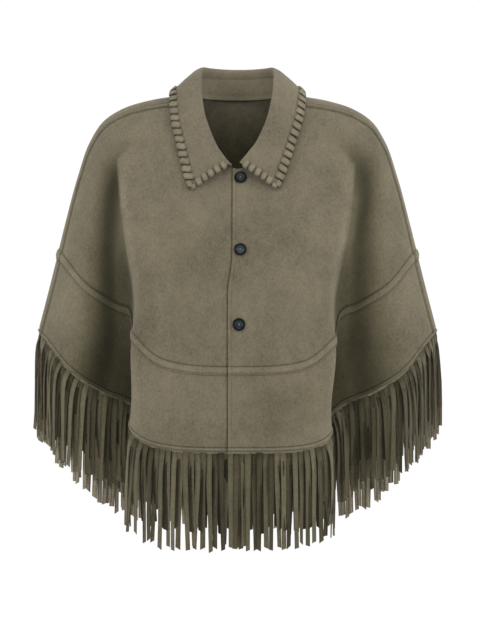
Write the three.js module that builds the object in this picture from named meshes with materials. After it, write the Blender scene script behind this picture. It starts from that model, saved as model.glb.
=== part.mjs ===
import * as THREE from "three";

// Fringe cape of suede cloth, worn and filled out, with a laced shirt collar, three front buttons,
// a lapped band round the lower edge and fringe along the whole hem.
// Millimetres, +Z up, front towards -Y, origin between the shoulders at the base of the neck.
// A place on the cape is an angle in degrees round the body, 0 at the centre front and positive
// towards +X, and a share s of the way down the cloth, 0 at the neck and 1 at the hem.

// Cloth and seams
const CLOTH = 1.4;
const COLLAR_CLOTH = 2.2;
const GAP = 0.3;
const LAYER = CLOTH + GAP;
const SEAM_RIDGE = 1.2;
const RIDGE_WIDTH = 11;
const RIDGE_FADE = 14;

// Front opening: the wearer's left front laps over the right one
const LAP_EDGE_NECK = -8;
const LAP_EDGE_HEM = -15;
const LAP_EDGE_SHIFT = { from: 0.3, to: 0.45 };
const UNDERLAP = 15;
const LAP_FADE = 27;

// Band seam: the upper cloth laps over the band between these shares
const SEAM_TOP = 0.705;
const SEAM_FOOT = 0.735;
const BAND_TOP = 0.7075;
const HEM_TURN = 0.97;
const SEAM_LOWER = { by: 0.022, fromAngle: 52, overAngle: 20 };
const UPPER_ROWS = [0, 0.06, 0.12, 0.19, 0.26, 0.33, 0.41, 0.49, 0.57, 0.64, 0.695, SEAM_TOP, SEAM_FOOT];
const BAND_ROWS = [BAND_TOP, SEAM_FOOT, 0.75, 0.84, 0.93, HEM_TURN, 1];

// Fringe
const FRINGE_LENGTH = 150;
const FRINGE_UNEVEN = 5;
const UNEVEN_TURN = 2.4;
const FRINGE_PITCH = 9.2;
const STRAND_WIDTH = 7;
const STRAND_SPACE = 1.6;
const STRAND_BEND = 15;
const STRAND_BENT_AT = 25;
const STRIP_GAP = 0.9;
const STRIP_TOP = 0.982;
const STRIP_DROP = 3;
const TURN_SPACE = 1.2;
const EDGE_ON_LIMIT = 0.3;

// Collar
const NECK_GAP = 0.8;
const STAND_FOOT = 5;
const STAND_RISE = 4;
const ROLL_RADIUS = 3;
const LEAF_COLUMNS = 52;
const LEAF_BULGE = 2.5;

// Lace along the collar's edge, its sizes in millimetres but the width as a share of a stitch
const LACE = 1.4;
const LACE_GAP = 0.65;
const LACE_WIDTH = 0.66;
const FRONT_STITCHES = 6;
const FRONT_INSET = 0.3;
const CORNER_INSET = 0.02;
const REACH_OUTSIDE = 13;
const REACH_INSIDE = 8;
const LACE_SLANT = 2.5;
const TIP_REACH = 0.6;

// Buttons
const BUTTON_RADIUS = 10;
const BUTTON_SIDES = 18;
const BUTTON_GAP = 0.5;

function columns(names, rows) {
  return Object.fromEntries(names.map((name, i) => [name, rows.map((row) => row[i])]));
}

// Rings of the cloth from the neck to the hem: half width and height at the sides, depth and height
// at the centre front and centre back, how late the height drops between them, and squareness.
const RINGS = columns(
  ["s", "halfWidth", "sideZ", "frontDepth", "frontZ", "backDepth", "backZ", "droop", "square"],
  [
    [0.0, 66, 8, 70, -118, 60, 8, 2.0, 0.0],
    [0.08, 107, 4, 86, -154, 76, -27, 2.0, 0.02],
    [0.16, 147, -3, 104, -190, 93, -70, 2.1, 0.05],
    [0.24, 187, -16, 120, -226, 106, -114, 2.2, 0.1],
    [0.31, 217, -36, 130, -258, 114, -155, 2.3, 0.14],
    [0.38, 237, -66, 136, -288, 119, -196, 2.5, 0.18],
    [0.5, 258, -125, 142, -340, 125, -265, 2.8, 0.22],
    [0.65, 278, -199, 148, -406, 131, -352, 3.1, 0.25],
    [0.82, 299, -285, 154, -481, 138, -451, 3.3, 0.26],
    [1.0, 322, -375, 160, -560, 146, -556, 3.4, 0.26],
  ],
);

// Large folds: the angle of each valley high up and at the hem, where it starts and is full,
// its depth, its width towards the body and away from it, and how far the arm side is drawn in.
const FOLD_NAMES = ["side", "top", "hem", "start", "full", "depth", "near", "far", "draw"];
const FOLDS = [
  [-1, 74, 39.5, 0.32, 0.95, 84, 5.2, 18, 56],
  [1, 72, 36.5, 0.32, 0.95, 74, 6.0, 18, 62],
  [-1, 118, 134, 0.36, 1.0, 36, 13, 13, 0],
  [1, 118, 135, 0.36, 1.0, 34, 13, 13, 0],
].map((row) => Object.fromEntries(FOLD_NAMES.map((name, i) => [name, row[i]])));

// The drawing in begins on the body side of the valley: both in near widths of the fold.
const DRAW_START = 1.9;
const DRAW_WIDTH = 2.4;

// Low waves: angle, half width in degrees, height at the hem, and the share where each starts.
const WAVES = [
  { angle: -15, width: 9, height: 8, start: 0.4 },
  { angle: 16, width: 9, height: 7, start: 0.4 },
  { angle: -66, width: 9, height: 5, start: 0.5 },
  { angle: 64, width: 9, height: 5, start: 0.5 },
  { angle: -106, width: 8, height: 8, start: 0.5 },
  { angle: 104, width: 8, height: 8, start: 0.5 },
  { angle: 170, width: 8, height: 6, start: 0.5 },
  { angle: -158, width: 8, height: 7, start: 0.5 },
];

// Where the side seam runs, a little forward of the shoulder's crest and the silhouette.
const SIDE_SEAM = columns(
  ["s", "angle"],
  [[0, 66], [0.08, 70], [0.16, 73], [0.31, 77], [0.5, 79.5], [1, 81.5]],
);

// The collar from the centre front to the centre back: the angle on the neck edge, the roll line,
// the place and lift of its outer edge over the cape, and the stand's share of the inside height.
const COLLAR = columns(
  ["neck", "rollX", "rollY", "rollZ", "edgeAngle", "edgeS", "edgeLift", "stand"],
  [
    [8, 10.5, -84, -104, 29.5, 0.155, 6, 0.3],
    [20, 24, -81, -87, 34.5, 0.145, 6, 0.35],
    [30, 36, -76, -70, 39.5, 0.1325, 6, 0.4],
    [45, 50, -66, -36, 49, 0.115, 6, 0.45],
    [60, 58, -50, 3, 59, 0.104, 7, 0.5],
    [75, 59.5, -28, 30, 70.5, 0.09, 8, 0.52],
    [90, 60, -3, 48, 87, 0.077, 8, 0.55],
    [110, 56, 18, 54, 107, 0.067, 10, 0.56],
    [135, 43, 42, 55, 137.5, 0.0475, 12, 0.56],
    [160, 21, 58, 55, 158, 0.03, 14, 0.56],
    [180, 0, 62, 55, 180, 0.0225, 14, 0.56],
  ],
);

// Where along a collar section's rows the fall's inner lines lie between the roll and the edge.
const FALL_SHARES = [0.4, 0.76];

// Button centres: how far across, and how far down the front.
const BUTTONS = [
  { x: 5, s: 0.034 },
  { x: 4.5, s: 0.288 },
  { x: 2.4, s: 0.556 },
];

const suede = { color: 0x82796a, roughness: 0.93, metalness: 0 };
const upperSuede = new THREE.MeshStandardMaterial(suede);
const bandSuede = new THREE.MeshStandardMaterial({ ...suede, color: 0x7b735f });
const collarSuede = new THREE.MeshStandardMaterial({ ...suede, color: 0x80775f });
const fringeSuede = new THREE.MeshStandardMaterial({ ...suede, color: 0x766d59 });
const laceSuede = new THREE.MeshStandardMaterial({ ...suede, color: 0x6f6754 });
const buttonResin = new THREE.MeshStandardMaterial({ color: 0x23262d, roughness: 0.35, metalness: 0 });

const radians = THREE.MathUtils.degToRad;
const degrees = THREE.MathUtils.radToDeg;
const mix = THREE.MathUtils.lerp;
const step = (t) => THREE.MathUtils.smoothstep(t, 0, 1);
const bell = (t) => Math.exp(-t * t);
const DOWN = new THREE.Vector3(0, 0, -1);
const UP = new THREE.Vector3(0, 0, 1);

// A smooth curve through a table's column: cubic pieces whose slopes come from both neighbours.
function curveThrough(xs, ys, x) {
  const last = xs.length - 1;
  const slope = (i) => {
    if (i === 0) return (ys[1] - ys[0]) / (xs[1] - xs[0]);
    if (i === last) return (ys[last] - ys[last - 1]) / (xs[last] - xs[last - 1]);
    const before = xs[i] - xs[i - 1];
    const after = xs[i + 1] - xs[i];
    const rise = ((ys[i + 1] - ys[i]) * before) / after + ((ys[i] - ys[i - 1]) * after) / before;
    return rise / (before + after);
  };
  let i = 0;
  while (i < last - 1 && x >= xs[i + 1]) i += 1;
  const h = xs[i + 1] - xs[i];
  const t = (x - xs[i]) / h;
  return (
    (1 + 2 * t) * (1 - t) ** 2 * ys[i] +
    t * (1 - t) ** 2 * h * slope(i) +
    t * t * (3 - 2 * t) * ys[i + 1] +
    t * t * (t - 1) * h * slope(i + 1)
  );
}

const ring = (name, s) => curveThrough(RINGS.s, RINGS[name], s);

// The valley of a fold swings from its top angle to its hem angle as it runs down.
function valleyAngle(fold, s) {
  const down = THREE.MathUtils.clamp((s - fold.start) / (1 - fold.start), 0, 1);
  return fold.hem + (fold.top - fold.hem) * (1 - down) ** 3;
}

// The cloth before its corners are softened: an oval ring whose height drops between the sides and
// the centres, pushed in at the folds, drawn in beyond them and raised at the waves.
function sharpForm(angle, s) {
  const sin = Math.sin(radians(angle));
  const cos = Math.cos(radians(angle));
  const end = cos >= 0 ? "front" : "back";
  const endZ = ring(`${end}Z`, s);
  let x = ring("halfWidth", s) * sin;
  let y = -ring(`${end}Depth`, s) * cos * (1 + ring("square", s) * sin * sin);
  const z = endZ + (ring("sideZ", s) - endZ) * Math.abs(sin) ** ring("droop", s);
  for (const fold of FOLDS) {
    const turned = angle * fold.side;
    if (turned <= 0) continue;
    const grown = step((s - fold.start) / (fold.full - fold.start));
    const valley = valleyAngle(fold, s);
    const away = turned - valley;
    const inward = fold.hem < 90 ? 1 : -1;
    y += inward * fold.depth * grown * bell(away / (away < 0 ? fold.near : fold.far));
    const drawn = step((away / fold.near + DRAW_START) / DRAW_WIDTH) * (1 - step(away / (90 - valley)));
    x -= fold.side * fold.draw * grown * drawn;
  }
  for (const wave of WAVES) {
    const away = THREE.MathUtils.euclideanModulo(angle - wave.angle + 180, 360) - 180;
    const height = wave.height * step((s - wave.start) / (1 - wave.start)) * bell(away / wave.width);
    x += height * sin;
    y -= height * cos;
  }
  return new THREE.Vector3(x, y, z);
}

// The inner face of the cloth: the mean of the sharp form at five angles, which rounds the folds.
const SOFTENING = [[-3.2, 1], [-1.6, 4], [0, 6], [1.6, 4], [3.2, 1]];
function form(angle, s) {
  const turned = angle > 180 ? angle - 360 : angle;
  const point = new THREE.Vector3();
  for (const [shift, weight] of SOFTENING) {
    point.addScaledVector(sharpForm(turned + shift, s), weight / 16);
  }
  return point;
}

const ANGLE_STEP = 0.4;
const SHARE_STEP = 0.004;
function outward(angle, s) {
  const along = form(angle + ANGLE_STEP, s).sub(form(angle - ANGLE_STEP, s));
  const down = form(angle, s + SHARE_STEP).sub(form(angle, s - SHARE_STEP));
  return down.cross(along).normalize();
}

const cape = (angle, s, off) => form(angle, s).addScaledVector(outward(angle, s), off);

// Moves an angle along the ring by a length in millimetres.
function shifted(angle, s, length) {
  const perDegree = form(angle + 0.5, s).distanceTo(form(angle - 0.5, s));
  return angle + length / perDegree;
}

// A closed mesh from points and triangles, with its faces turned outwards.
function closedMesh(name, points, triangles, material) {
  let volume = 0;
  for (let i = 0; i < triangles.length; i += 3) {
    const [a, b, c] = [points[triangles[i]], points[triangles[i + 1]], points[triangles[i + 2]]];
    volume += a.dot(b.clone().cross(c));
  }
  const index = volume < 0 ? [...triangles].reverse() : triangles;
  const geometry = new THREE.BufferGeometry().setFromPoints(points);
  geometry.setIndex(index);
  geometry.computeVertexNormals();
  const mesh = new THREE.Mesh(geometry, material);
  mesh.name = name;
  return mesh;
}

const addQuad = (triangles, a, b, c, d) => triangles.push(a, b, c, a, c, d);

// A wall of cloth: a grid of places, each with a point, an outward direction and the heights of its
// lower and upper face, closed round its rim.
function wall(name, grid, material) {
  const points = [];
  const triangles = [];
  const rows = grid[0].length;
  for (const column of grid) {
    for (const place of column) points.push(place.point.clone().addScaledVector(place.normal, place.high));
    for (const place of column) points.push(place.point.clone().addScaledVector(place.normal, place.low));
  }
  const upper = (i, j) => i * 2 * rows + j;
  const lower = (i, j) => upper(i, j) + rows;
  const lastColumn = grid.length - 1;
  const lastRow = rows - 1;
  for (let i = 0; i < lastColumn; i += 1) {
    for (let j = 0; j < lastRow; j += 1) {
      addQuad(triangles, upper(i, j), upper(i, j + 1), upper(i + 1, j + 1), upper(i + 1, j));
      addQuad(triangles, lower(i, j), lower(i + 1, j), lower(i + 1, j + 1), lower(i, j + 1));
    }
    addQuad(triangles, upper(i, 0), upper(i + 1, 0), lower(i + 1, 0), lower(i, 0));
    addQuad(triangles, lower(i, lastRow), lower(i + 1, lastRow), upper(i + 1, lastRow), upper(i, lastRow));
  }
  for (let j = 0; j < lastRow; j += 1) {
    addQuad(triangles, upper(0, j), lower(0, j), lower(0, j + 1), upper(0, j + 1));
    const i = lastColumn;
    addQuad(triangles, upper(i, j), upper(i, j + 1), lower(i, j + 1), lower(i, j));
  }
  return closedMesh(name, points, triangles, material);
}

// A point of a wall's facets between its grid places, so many millimetres above its lower face.
function onWall(grid, column, row, off) {
  const i = THREE.MathUtils.clamp(Math.floor(column), 0, grid.length - 2);
  const j = THREE.MathUtils.clamp(Math.floor(row), 0, grid[0].length - 2);
  const corner = (a, b) => {
    const place = grid[i + a][j + b];
    return place.point.clone().addScaledVector(place.normal, place.low + off);
  };
  const along = column - i;
  const down = row - j;
  const side = down > along ? corner(0, 1) : corner(1, 0);
  const point = corner(0, 0).multiplyScalar(1 - Math.max(along, down));
  return point
    .addScaledVector(corner(1, 1), Math.min(along, down))
    .addScaledVector(side, Math.abs(along - down));
}

// Columns of the walls, each a function from the share down the cloth to an angle
const across = (x) => (s) => degrees(Math.asin(x / ring("halfWidth", s)));
const lapEdge = (s) => {
  const moved = step((s - LAP_EDGE_SHIFT.from) / (LAP_EDGE_SHIFT.to - LAP_EDGE_SHIFT.from));
  return across(mix(LAP_EDGE_NECK, LAP_EDGE_HEM, moved))(s);
};
const seamAngle = (s) => curveThrough(SIDE_SEAM.s, SIDE_SEAM.angle, s);

// The column that follows the valley of the front fold, held back above it where there is no fold.
const VALLEY_LIMIT = { neck: 42, below: 60, by: 0.3 };
function valleyColumn(side, s) {
  const fold = FOLDS.find((row) => row.side === side && row.hem < 90);
  const limit = mix(VALLEY_LIMIT.neck, VALLEY_LIMIT.below, step(s / VALLEY_LIMIT.by));
  return Math.min(valleyAngle(fold, s), limit);
}

const NEAR_SHARES = [0.25, 0.48, 0.65, 0.75, 0.82, 0.88, 0.94, 1];
const FAR_SHARES = [0.07, 0.16, 0.28, 0.42, 0.58, 0.78, 1];
const BACK_SHARES = [0.09, 0.18, 0.27, 0.36, 0.45, 0.54, 0.63, 0.73, 0.82, 0.91, 1];

// Columns from just beyond the lap to the side seam, as unsigned angles.
function frontColumns(side) {
  const seamSide = (s) => shifted(seamAngle(s), s, -GAP / 2);
  const near = NEAR_SHARES.map((share) => (s) => mix(across(LAP_FADE)(s), valleyColumn(side, s), share));
  const far = FAR_SHARES.map((share) => (s) => mix(valleyColumn(side, s), seamSide(s), share));
  return [across(LAP_FADE), ...near, ...far];
}

// Columns from the side seam to the centre back, as unsigned angles.
function backColumns() {
  const edge = (s) => shifted(seamAngle(s), s, GAP / 2);
  const ridge = (s) => shifted(edge(s), s, RIDGE_WIDTH);
  const flat = (s) => shifted(edge(s), s, RIDGE_FADE);
  const rest = BACK_SHARES.map((share) => (s) => mix(flat(s), shifted(180, s, -GAP / 2), share));
  return [edge, ridge, flat, ...rest];
}

// The band seam runs a little lower round the arms and back than across the front.
function lowered(angle, s) {
  const turn = step((Math.abs(angle) - SEAM_LOWER.fromAngle) / SEAM_LOWER.overAngle);
  const above = s / SEAM_TOP;
  const below = (1 - s) / (1 - SEAM_FOOT);
  return s + SEAM_LOWER.by * turn * Math.min(1, above, below);
}

const mirrored = (list) => [...list].reverse().map((angleAt) => (s) => -angleAt(s));

// Grid of one panel: level gives how many layers lie under a place, ridge its extra thickness.
function panelGrid(angles, rows, level, ridge = () => 0) {
  return angles.map((angleAt, i) =>
    rows.map((s) => {
      const angle = angleAt(s);
      const share = lowered(angle, s);
      const low = level(i, s) * LAYER;
      const high = low + CLOTH + ridge(i, s);
      return { point: form(angle, share), normal: outward(angle, share), low, high };
    }),
  );
}

const lapped = (s) => (s >= SEAM_TOP ? 1 : 0);
const HEM_LEVEL = (CLOTH + STRIP_GAP + CLOTH + GAP) / LAYER;

function frontLeft() {
  const angles = [lapEdge, across(0), across(UNDERLAP), ...frontColumns(1)];
  const over = (i) => i < 3;
  const bandLevel = (i, s) => {
    if (!over(i)) return 0;
    if (s >= HEM_TURN) return HEM_LEVEL;
    return s <= SEAM_FOOT ? 2 : 1;
  };
  const upperLevel = (i, s) => lapped(s) + (over(i) ? 1 + lapped(s) : 0);
  return {
    upper: panelGrid(angles, UPPER_ROWS, upperLevel),
    band: panelGrid(angles, BAND_ROWS, bandLevel),
  };
}

function frontRight() {
  const angles = [...mirrored(frontColumns(-1)), lapEdge, across(0), across(UNDERLAP)];
  return {
    upper: panelGrid(angles, UPPER_ROWS, (i, s) => lapped(s)),
    band: panelGrid(angles, BAND_ROWS, () => 0),
  };
}

function back(side) {
  const angles = side > 0 ? backColumns() : mirrored(backColumns());
  const fromSeam = (i) => (side > 0 ? i : angles.length - 1 - i);
  const ridge = (i) => (fromSeam(i) < 2 ? SEAM_RIDGE : 0);
  return {
    upper: panelGrid(angles, UPPER_ROWS, (i, s) => lapped(s), ridge),
    band: panelGrid(angles, BAND_ROWS, () => 0, (i, s) => (s > SEAM_FOOT ? ridge(i) : 0)),
  };
}

// Fringe: a strip sewn behind the hem whose lower edge runs out into strands. Each strand leaves at
// right angles to the hem, bends down under its weight and hangs, turned edge on where the hem
// slopes so that it clears its neighbours.
function strandPlaces(grid) {
  const places = [];
  const lastRow = grid[0].length - 1;
  for (let i = 0; i < grid.length - 1; i += 1) {
    const start = onWall(grid, i, lastRow, 0);
    const length = start.distanceTo(onWall(grid, i + 1, lastRow, 0));
    const count = Math.max(1, Math.round(length / FRINGE_PITCH));
    const width = Math.min(STRAND_WIDTH, length / count - STRAND_SPACE);
    for (let k = 0; k < count; k += 1) {
      const middle = (k + 0.5) / count;
      const half = width / 2 / length;
      places.push({ from: i + middle - half, to: i + middle + half, width, pitch: length / count });
    }
  }
  return places;
}

function fringe(name, grid) {
  const points = [];
  const triangles = [];
  const add = (point) => points.push(point) - 1;
  const lastRow = grid[0].length - 1;
  const topRow = lastRow - (1 - STRIP_TOP) / (1 - HEM_TURN);
  const outer = -STRIP_GAP;
  const inner = outer - CLOTH;
  const corners = (column, off) => {
    const hem = onWall(grid, column, lastRow, off);
    const down = hem.clone().sub(onWall(grid, column, lastRow - 1, off)).normalize();
    return [add(onWall(grid, column, topRow, off)), add(hem.addScaledVector(down, STRIP_DROP))];
  };
  const section = (column) => {
    const [outerTop, outerFoot] = corners(column, outer);
    const [innerTop, innerFoot] = corners(column, inner);
    return { outerTop, outerFoot, innerTop, innerFoot };
  };
  const join = (a, b) => {
    addQuad(triangles, a.outerTop, a.outerFoot, b.outerFoot, b.outerTop);
    addQuad(triangles, a.innerTop, b.innerTop, b.innerFoot, a.innerFoot);
    addQuad(triangles, a.outerTop, b.outerTop, b.innerTop, a.innerTop);
  };
  const joinBetween = (a, b) => {
    join(a, b);
    addQuad(triangles, a.outerFoot, a.innerFoot, b.innerFoot, b.outerFoot);
  };
  const cap = (a, turned) => {
    const loop = [a.outerTop, a.innerTop, a.innerFoot, a.outerFoot];
    addQuad(triangles, ...(turned ? loop.reverse() : loop));
  };

  let before = null;
  let facet = 0;
  strandPlaces(grid).forEach((place, count) => {
    if (Math.floor(place.from) > facet) {
      facet = Math.floor(place.from);
      const crease = section(facet);
      joinBetween(before, crease);
      before = crease;
    }
    const a = section(place.from);
    const b = section(place.to);
    if (before) joinBetween(before, a);
    else cap(a, false);
    join(a, b);

    const along = points[b.outerFoot].clone().sub(points[a.outerFoot]).normalize();
    const face = points[a.outerFoot].clone().sub(points[a.innerFoot]).normalize();
    const leave = along.clone().cross(face).normalize();
    if (leave.z > 0) leave.negate();
    const root = [a.outerFoot, b.outerFoot, b.innerFoot, a.innerFoot];
    const middle = root.reduce((sum, i) => sum.add(points[i]), new THREE.Vector3()).multiplyScalar(0.25);
    const level = new THREE.Vector3(along.x, along.y, 0);
    const room = place.pitch * level.length() - TURN_SPACE;
    const turn = Math.acos(Math.min(1, Math.max(EDGE_ON_LIMIT, room / place.width)));
    level.normalize().applyAxisAngle(UP, turn * Math.sign(middle.x));
    const outwards = new THREE.Vector3(level.y, -level.x, 0);
    const length = FRINGE_LENGTH + FRINGE_UNEVEN * Math.sin(count * UNEVEN_TURN);
    let last = root;
    for (const t of [STRAND_BENT_AT, length]) {
      const bent = STRAND_BEND * (1 - Math.exp(-t / STRAND_BEND));
      const centre = middle.clone().addScaledVector(leave, bent).addScaledVector(DOWN, t - bent);
      const next = [[-1, 1], [1, 1], [1, -1], [-1, -1]].map(([w, o]) => {
        const corner = centre.clone().addScaledVector(level, (w * place.width) / 2);
        return add(corner.addScaledVector(outwards, (o * CLOTH) / 2));
      });
      for (let k = 0; k < 4; k += 1) {
        const m = (k + 1) % 4;
        addQuad(triangles, last[k], next[k], next[m], last[m]);
      }
      last = next;
    }
    addQuad(triangles, last[0], last[3], last[2], last[1]);
    before = b;
  });
  cap(before, true);
  return closedMesh(name, points, triangles, fringeSuede);
}

// The collar's table run from the wearer's left front round the back to the right front, where
// u goes from 0 to 2, so that the two sides mirror each other.
const COLLAR_ROWS = COLLAR.neck.length;
const COLLAR_U = Array.from({ length: 2 * COLLAR_ROWS - 1 }, (_, i) => i / (COLLAR_ROWS - 1));
function collarValue(name, u) {
  const values = COLLAR[name];
  const other = [...values].reverse().slice(1).map((value) => {
    if (name === "rollX") return -value;
    return name === "neck" || name === "edgeAngle" ? 360 - value : value;
  });
  return curveThrough(COLLAR_U, [...values, ...other], u);
}

const collarEdge = (u) =>
  cape(collarValue("edgeAngle", u), collarValue("edgeS", u), collarValue("edgeLift", u));

// Places of u at even spacing along the collar's outer edge.
function evenCollar(count) {
  const fine = 400;
  const lengths = [0];
  for (let i = 1; i <= fine; i += 1) {
    const piece = collarEdge((2 * i) / fine).distanceTo(collarEdge((2 * (i - 1)) / fine));
    lengths.push(lengths[i - 1] + piece);
  }
  return Array.from({ length: count + 1 }, (_, k) => {
    const wanted = (lengths[fine] * k) / count;
    let i = 1;
    while (i < fine && lengths[i] < wanted) i += 1;
    const share = (wanted - lengths[i - 1]) / (lengths[i] - lengths[i - 1]);
    return (2 * (i - 1 + share)) / fine;
  });
}

// The lines of one collar section, from the foot of the stand over the roll to the outer edge.
function collarSection(u) {
  const neck = form(collarValue("neck", u), 0);
  const inward = new THREE.Vector3(-neck.x, -neck.y, 0).normalize();
  const base = neck.clone().addScaledVector(inward, NECK_GAP + CLOTH / 2);
  const foot = base.clone().addScaledVector(DOWN, STAND_FOOT);
  const rise = base.clone().addScaledVector(UP, STAND_RISE);
  const roll = new THREE.Vector3(
    collarValue("rollX", u),
    collarValue("rollY", u),
    collarValue("rollZ", u),
  );
  const edge = collarEdge(u);
  const seam = rise.clone().lerp(roll, collarValue("stand", u));
  const seamDirection = roll.clone().sub(seam).normalize();
  const standTop = seam.clone().addScaledVector(seamDirection, -GAP);

  const fromEdge = roll.clone().sub(edge).normalize();
  const top = roll.clone().sub(rise).normalize().add(fromEdge).normalize();
  const over = fromEdge.clone().negate();
  over.addScaledVector(top, -over.dot(top)).normalize();
  const inside = roll.clone().addScaledVector(top, -ROLL_RADIUS).addScaledVector(over, -ROLL_RADIUS);
  const outside = roll.clone().addScaledVector(top, -ROLL_RADIUS).addScaledVector(over, ROLL_RADIUS);
  const bulge = outward(collarValue("edgeAngle", u), collarValue("edgeS", u));
  const fall = FALL_SHARES.map((share, i) =>
    outside.clone().lerp(edge, share).addScaledVector(bulge, LEAF_BULGE / (i + 1)),
  );
  return {
    stand: [foot, base, rise, standTop],
    leaf: [seam, inside, roll, outside, ...fall, edge],
  };
}

// Gives each point of a grid its outward direction from its neighbours.
function sheetGrid(lines, thickness) {
  const at = (i, j) => {
    const line = lines[THREE.MathUtils.clamp(i, 0, lines.length - 1)];
    return line[THREE.MathUtils.clamp(j, 0, line.length - 1)];
  };
  return lines.map((line, i) =>
    line.map((point, j) => {
      const along = at(i + 1, j).clone().sub(at(i - 1, j));
      const down = at(i, j + 1).clone().sub(at(i, j - 1));
      const normal = down.cross(along).normalize();
      return { point, normal, low: -thickness / 2, high: thickness / 2 };
    }),
  );
}

// Lace over the collar's edge: a core just outside the edge, with an arm on each face per stitch.
function lacePlaces(grid) {
  const edgeRow = grid[0].length - 1;
  const rollRow = 3;
  const half = COLLAR_CLOTH / 2;
  const lastColumn = grid.length - 1;
  const around = (column, row, next, inner) => {
    const edge = onWall(grid, column, row, half);
    const along = onWall(grid, ...next, half).sub(edge).normalize();
    const inward = onWall(grid, ...inner, half).sub(edge);
    inward.addScaledVector(along, -inward.dot(along)).normalize();
    const normal = onWall(grid, column, row, half + 1).sub(edge);
    normal.addScaledVector(along, -normal.dot(along)).addScaledVector(inward, -normal.dot(inward));
    return { edge, along, inward, normal: normal.normalize() };
  };
  const frontPlace = (column, row) => {
    const inside = column === 0 ? FRONT_INSET : lastColumn - FRONT_INSET;
    const place = around(column, row, [column, row + 0.01], [inside, row]);
    if (column !== 0) place.along.negate();
    return place;
  };
  const edgePlace = (column) => around(column, edgeRow, [column + 0.01, edgeRow], [column, edgeRow - 0.2]);
  const places = [];
  const frontPitch = (edgeRow - rollRow) / FRONT_STITCHES;
  const frontStitch = (column, k) => {
    const middle = rollRow + (k + 0.5) * frontPitch;
    const reach = (frontPitch * LACE_WIDTH) / 2;
    const ends = [frontPlace(column, middle - reach), frontPlace(column, middle + reach)];
    if (column !== 0) ends.reverse();
    places.push({ ...ends[0], arm: true }, ends[1]);
  };
  const corner = (column) => {
    const a = frontPlace(column, edgeRow - CORNER_INSET);
    const b = edgePlace(column === 0 ? CORNER_INSET : lastColumn - CORNER_INSET);
    const edge = onWall(grid, column, edgeRow, half);
    const share = 1 + a.inward.dot(b.inward);
    const inward = a.inward.clone().add(b.inward).divideScalar(share);
    places.push({ edge, along: b.along, inward, normal: a.normal });
  };
  for (let k = 0; k < FRONT_STITCHES; k += 1) frontStitch(0, k);
  corner(0);
  for (let i = 0; i < lastColumn; i += 1) {
    const reach = LACE_WIDTH / 2;
    places.push({ ...edgePlace(i + 0.5 - reach), arm: true }, edgePlace(i + 0.5 + reach));
  }
  corner(lastColumn);
  for (let k = FRONT_STITCHES - 1; k >= 0; k -= 1) frontStitch(lastColumn, k);
  return places;
}

function lace(name, grid) {
  const points = [];
  const triangles = [];
  const near = COLLAR_CLOTH / 2 + LACE_GAP;
  const far = near + LACE;
  const tips = [onWall(grid, 0, grid[0].length - 1, 0), onWall(grid, grid.length - 1, grid[0].length - 1, 0)];
  const at = (place, inward, height, slant = 0) => {
    const point = place.edge.clone().addScaledVector(place.inward, inward);
    point.addScaledVector(place.normal, height).addScaledVector(place.along, slant);
    return points.push(point) - 1;
  };
  const core = (place) => [
    at(place, -LACE_GAP - LACE, far),
    at(place, -LACE_GAP - LACE, -far),
    at(place, -LACE_GAP, -far),
    at(place, -LACE_GAP, -near),
    at(place, -LACE_GAP, near),
    at(place, -LACE_GAP, far),
  ];
  const arm = (a, b, roots, reach, heights, slant) => {
    const ends = [
      at(a, reach, heights[0], slant),
      at(a, reach, heights[1], slant),
      at(b, reach, heights[1], slant),
      at(b, reach, heights[0], slant),
    ];
    for (let k = 0; k < 4; k += 1) {
      const m = (k + 1) % 4;
      addQuad(triangles, roots[k], ends[k], ends[m], roots[m]);
    }
    addQuad(triangles, ends[0], ends[3], ends[2], ends[1]);
  };
  const places = lacePlaces(grid);
  const loops = places.map(core);
  for (let i = 0; i < places.length - 1; i += 1) {
    const [a, b] = [loops[i], loops[i + 1]];
    const stitched = places[i].arm;
    for (let k = 0; k < 6; k += 1) {
      if (stitched && (k === 2 || k === 4)) continue;
      const m = (k + 1) % 6;
      addQuad(triangles, a[k], b[k], b[m], a[m]);
    }
    if (stitched) {
      const fromTip = Math.min(...tips.map((tip) => tip.distanceTo(places[i].edge)));
      const outside = Math.min(REACH_OUTSIDE, TIP_REACH * fromTip);
      const inside = Math.min(REACH_INSIDE, TIP_REACH * fromTip);
      arm(places[i], places[i + 1], [a[4], a[5], b[5], b[4]], outside, [near, far], LACE_SLANT);
      arm(places[i], places[i + 1], [a[2], a[3], b[3], b[2]], inside, [-far, -near], 0);
    }
  }
  const first = loops[0];
  const last = loops[loops.length - 1];
  for (let k = 1; k < 5; k += 1) {
    triangles.push(first[0], first[k], first[k + 1]);
    triangles.push(last[0], last[k + 1], last[k]);
  }
  return closedMesh(name, points, triangles, laceSuede);
}

// A round button with a raised rim and a sunk face, its back just clear of the cloth under it.
const BUTTON_PROFILE = [
  [0, 0], [0.62, 0], [0.95, 0.9], [1, 2.2], [0.92, 3.3], [0.74, 3.3], [0.64, 2.3], [0, 2.3],
];
function button(name, grid, { x, s }) {
  const profile = BUTTON_PROFILE.map(([share, height]) => new THREE.Vector2(share * BUTTON_RADIUS, height));
  const geometry = new THREE.LatheGeometry(profile, BUTTON_SIDES);
  const row = UPPER_ROWS.findIndex((value) => value > s) - 1;
  const down = row + (s - UPPER_ROWS[row]) / (UPPER_ROWS[row + 1] - UPPER_ROWS[row]);
  const column = 1 + x / UNDERLAP;
  const foot = onWall(grid, column, down, CLOTH);
  const axis = onWall(grid, column, down, CLOTH + 1).sub(foot).normalize();
  const mesh = new THREE.Mesh(geometry, buttonResin);
  mesh.name = name;
  mesh.position.copy(foot.addScaledVector(axis, BUTTON_GAP));
  mesh.quaternion.setFromUnitVectors(new THREE.Vector3(0, 1, 0), axis);
  return mesh;
}

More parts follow.
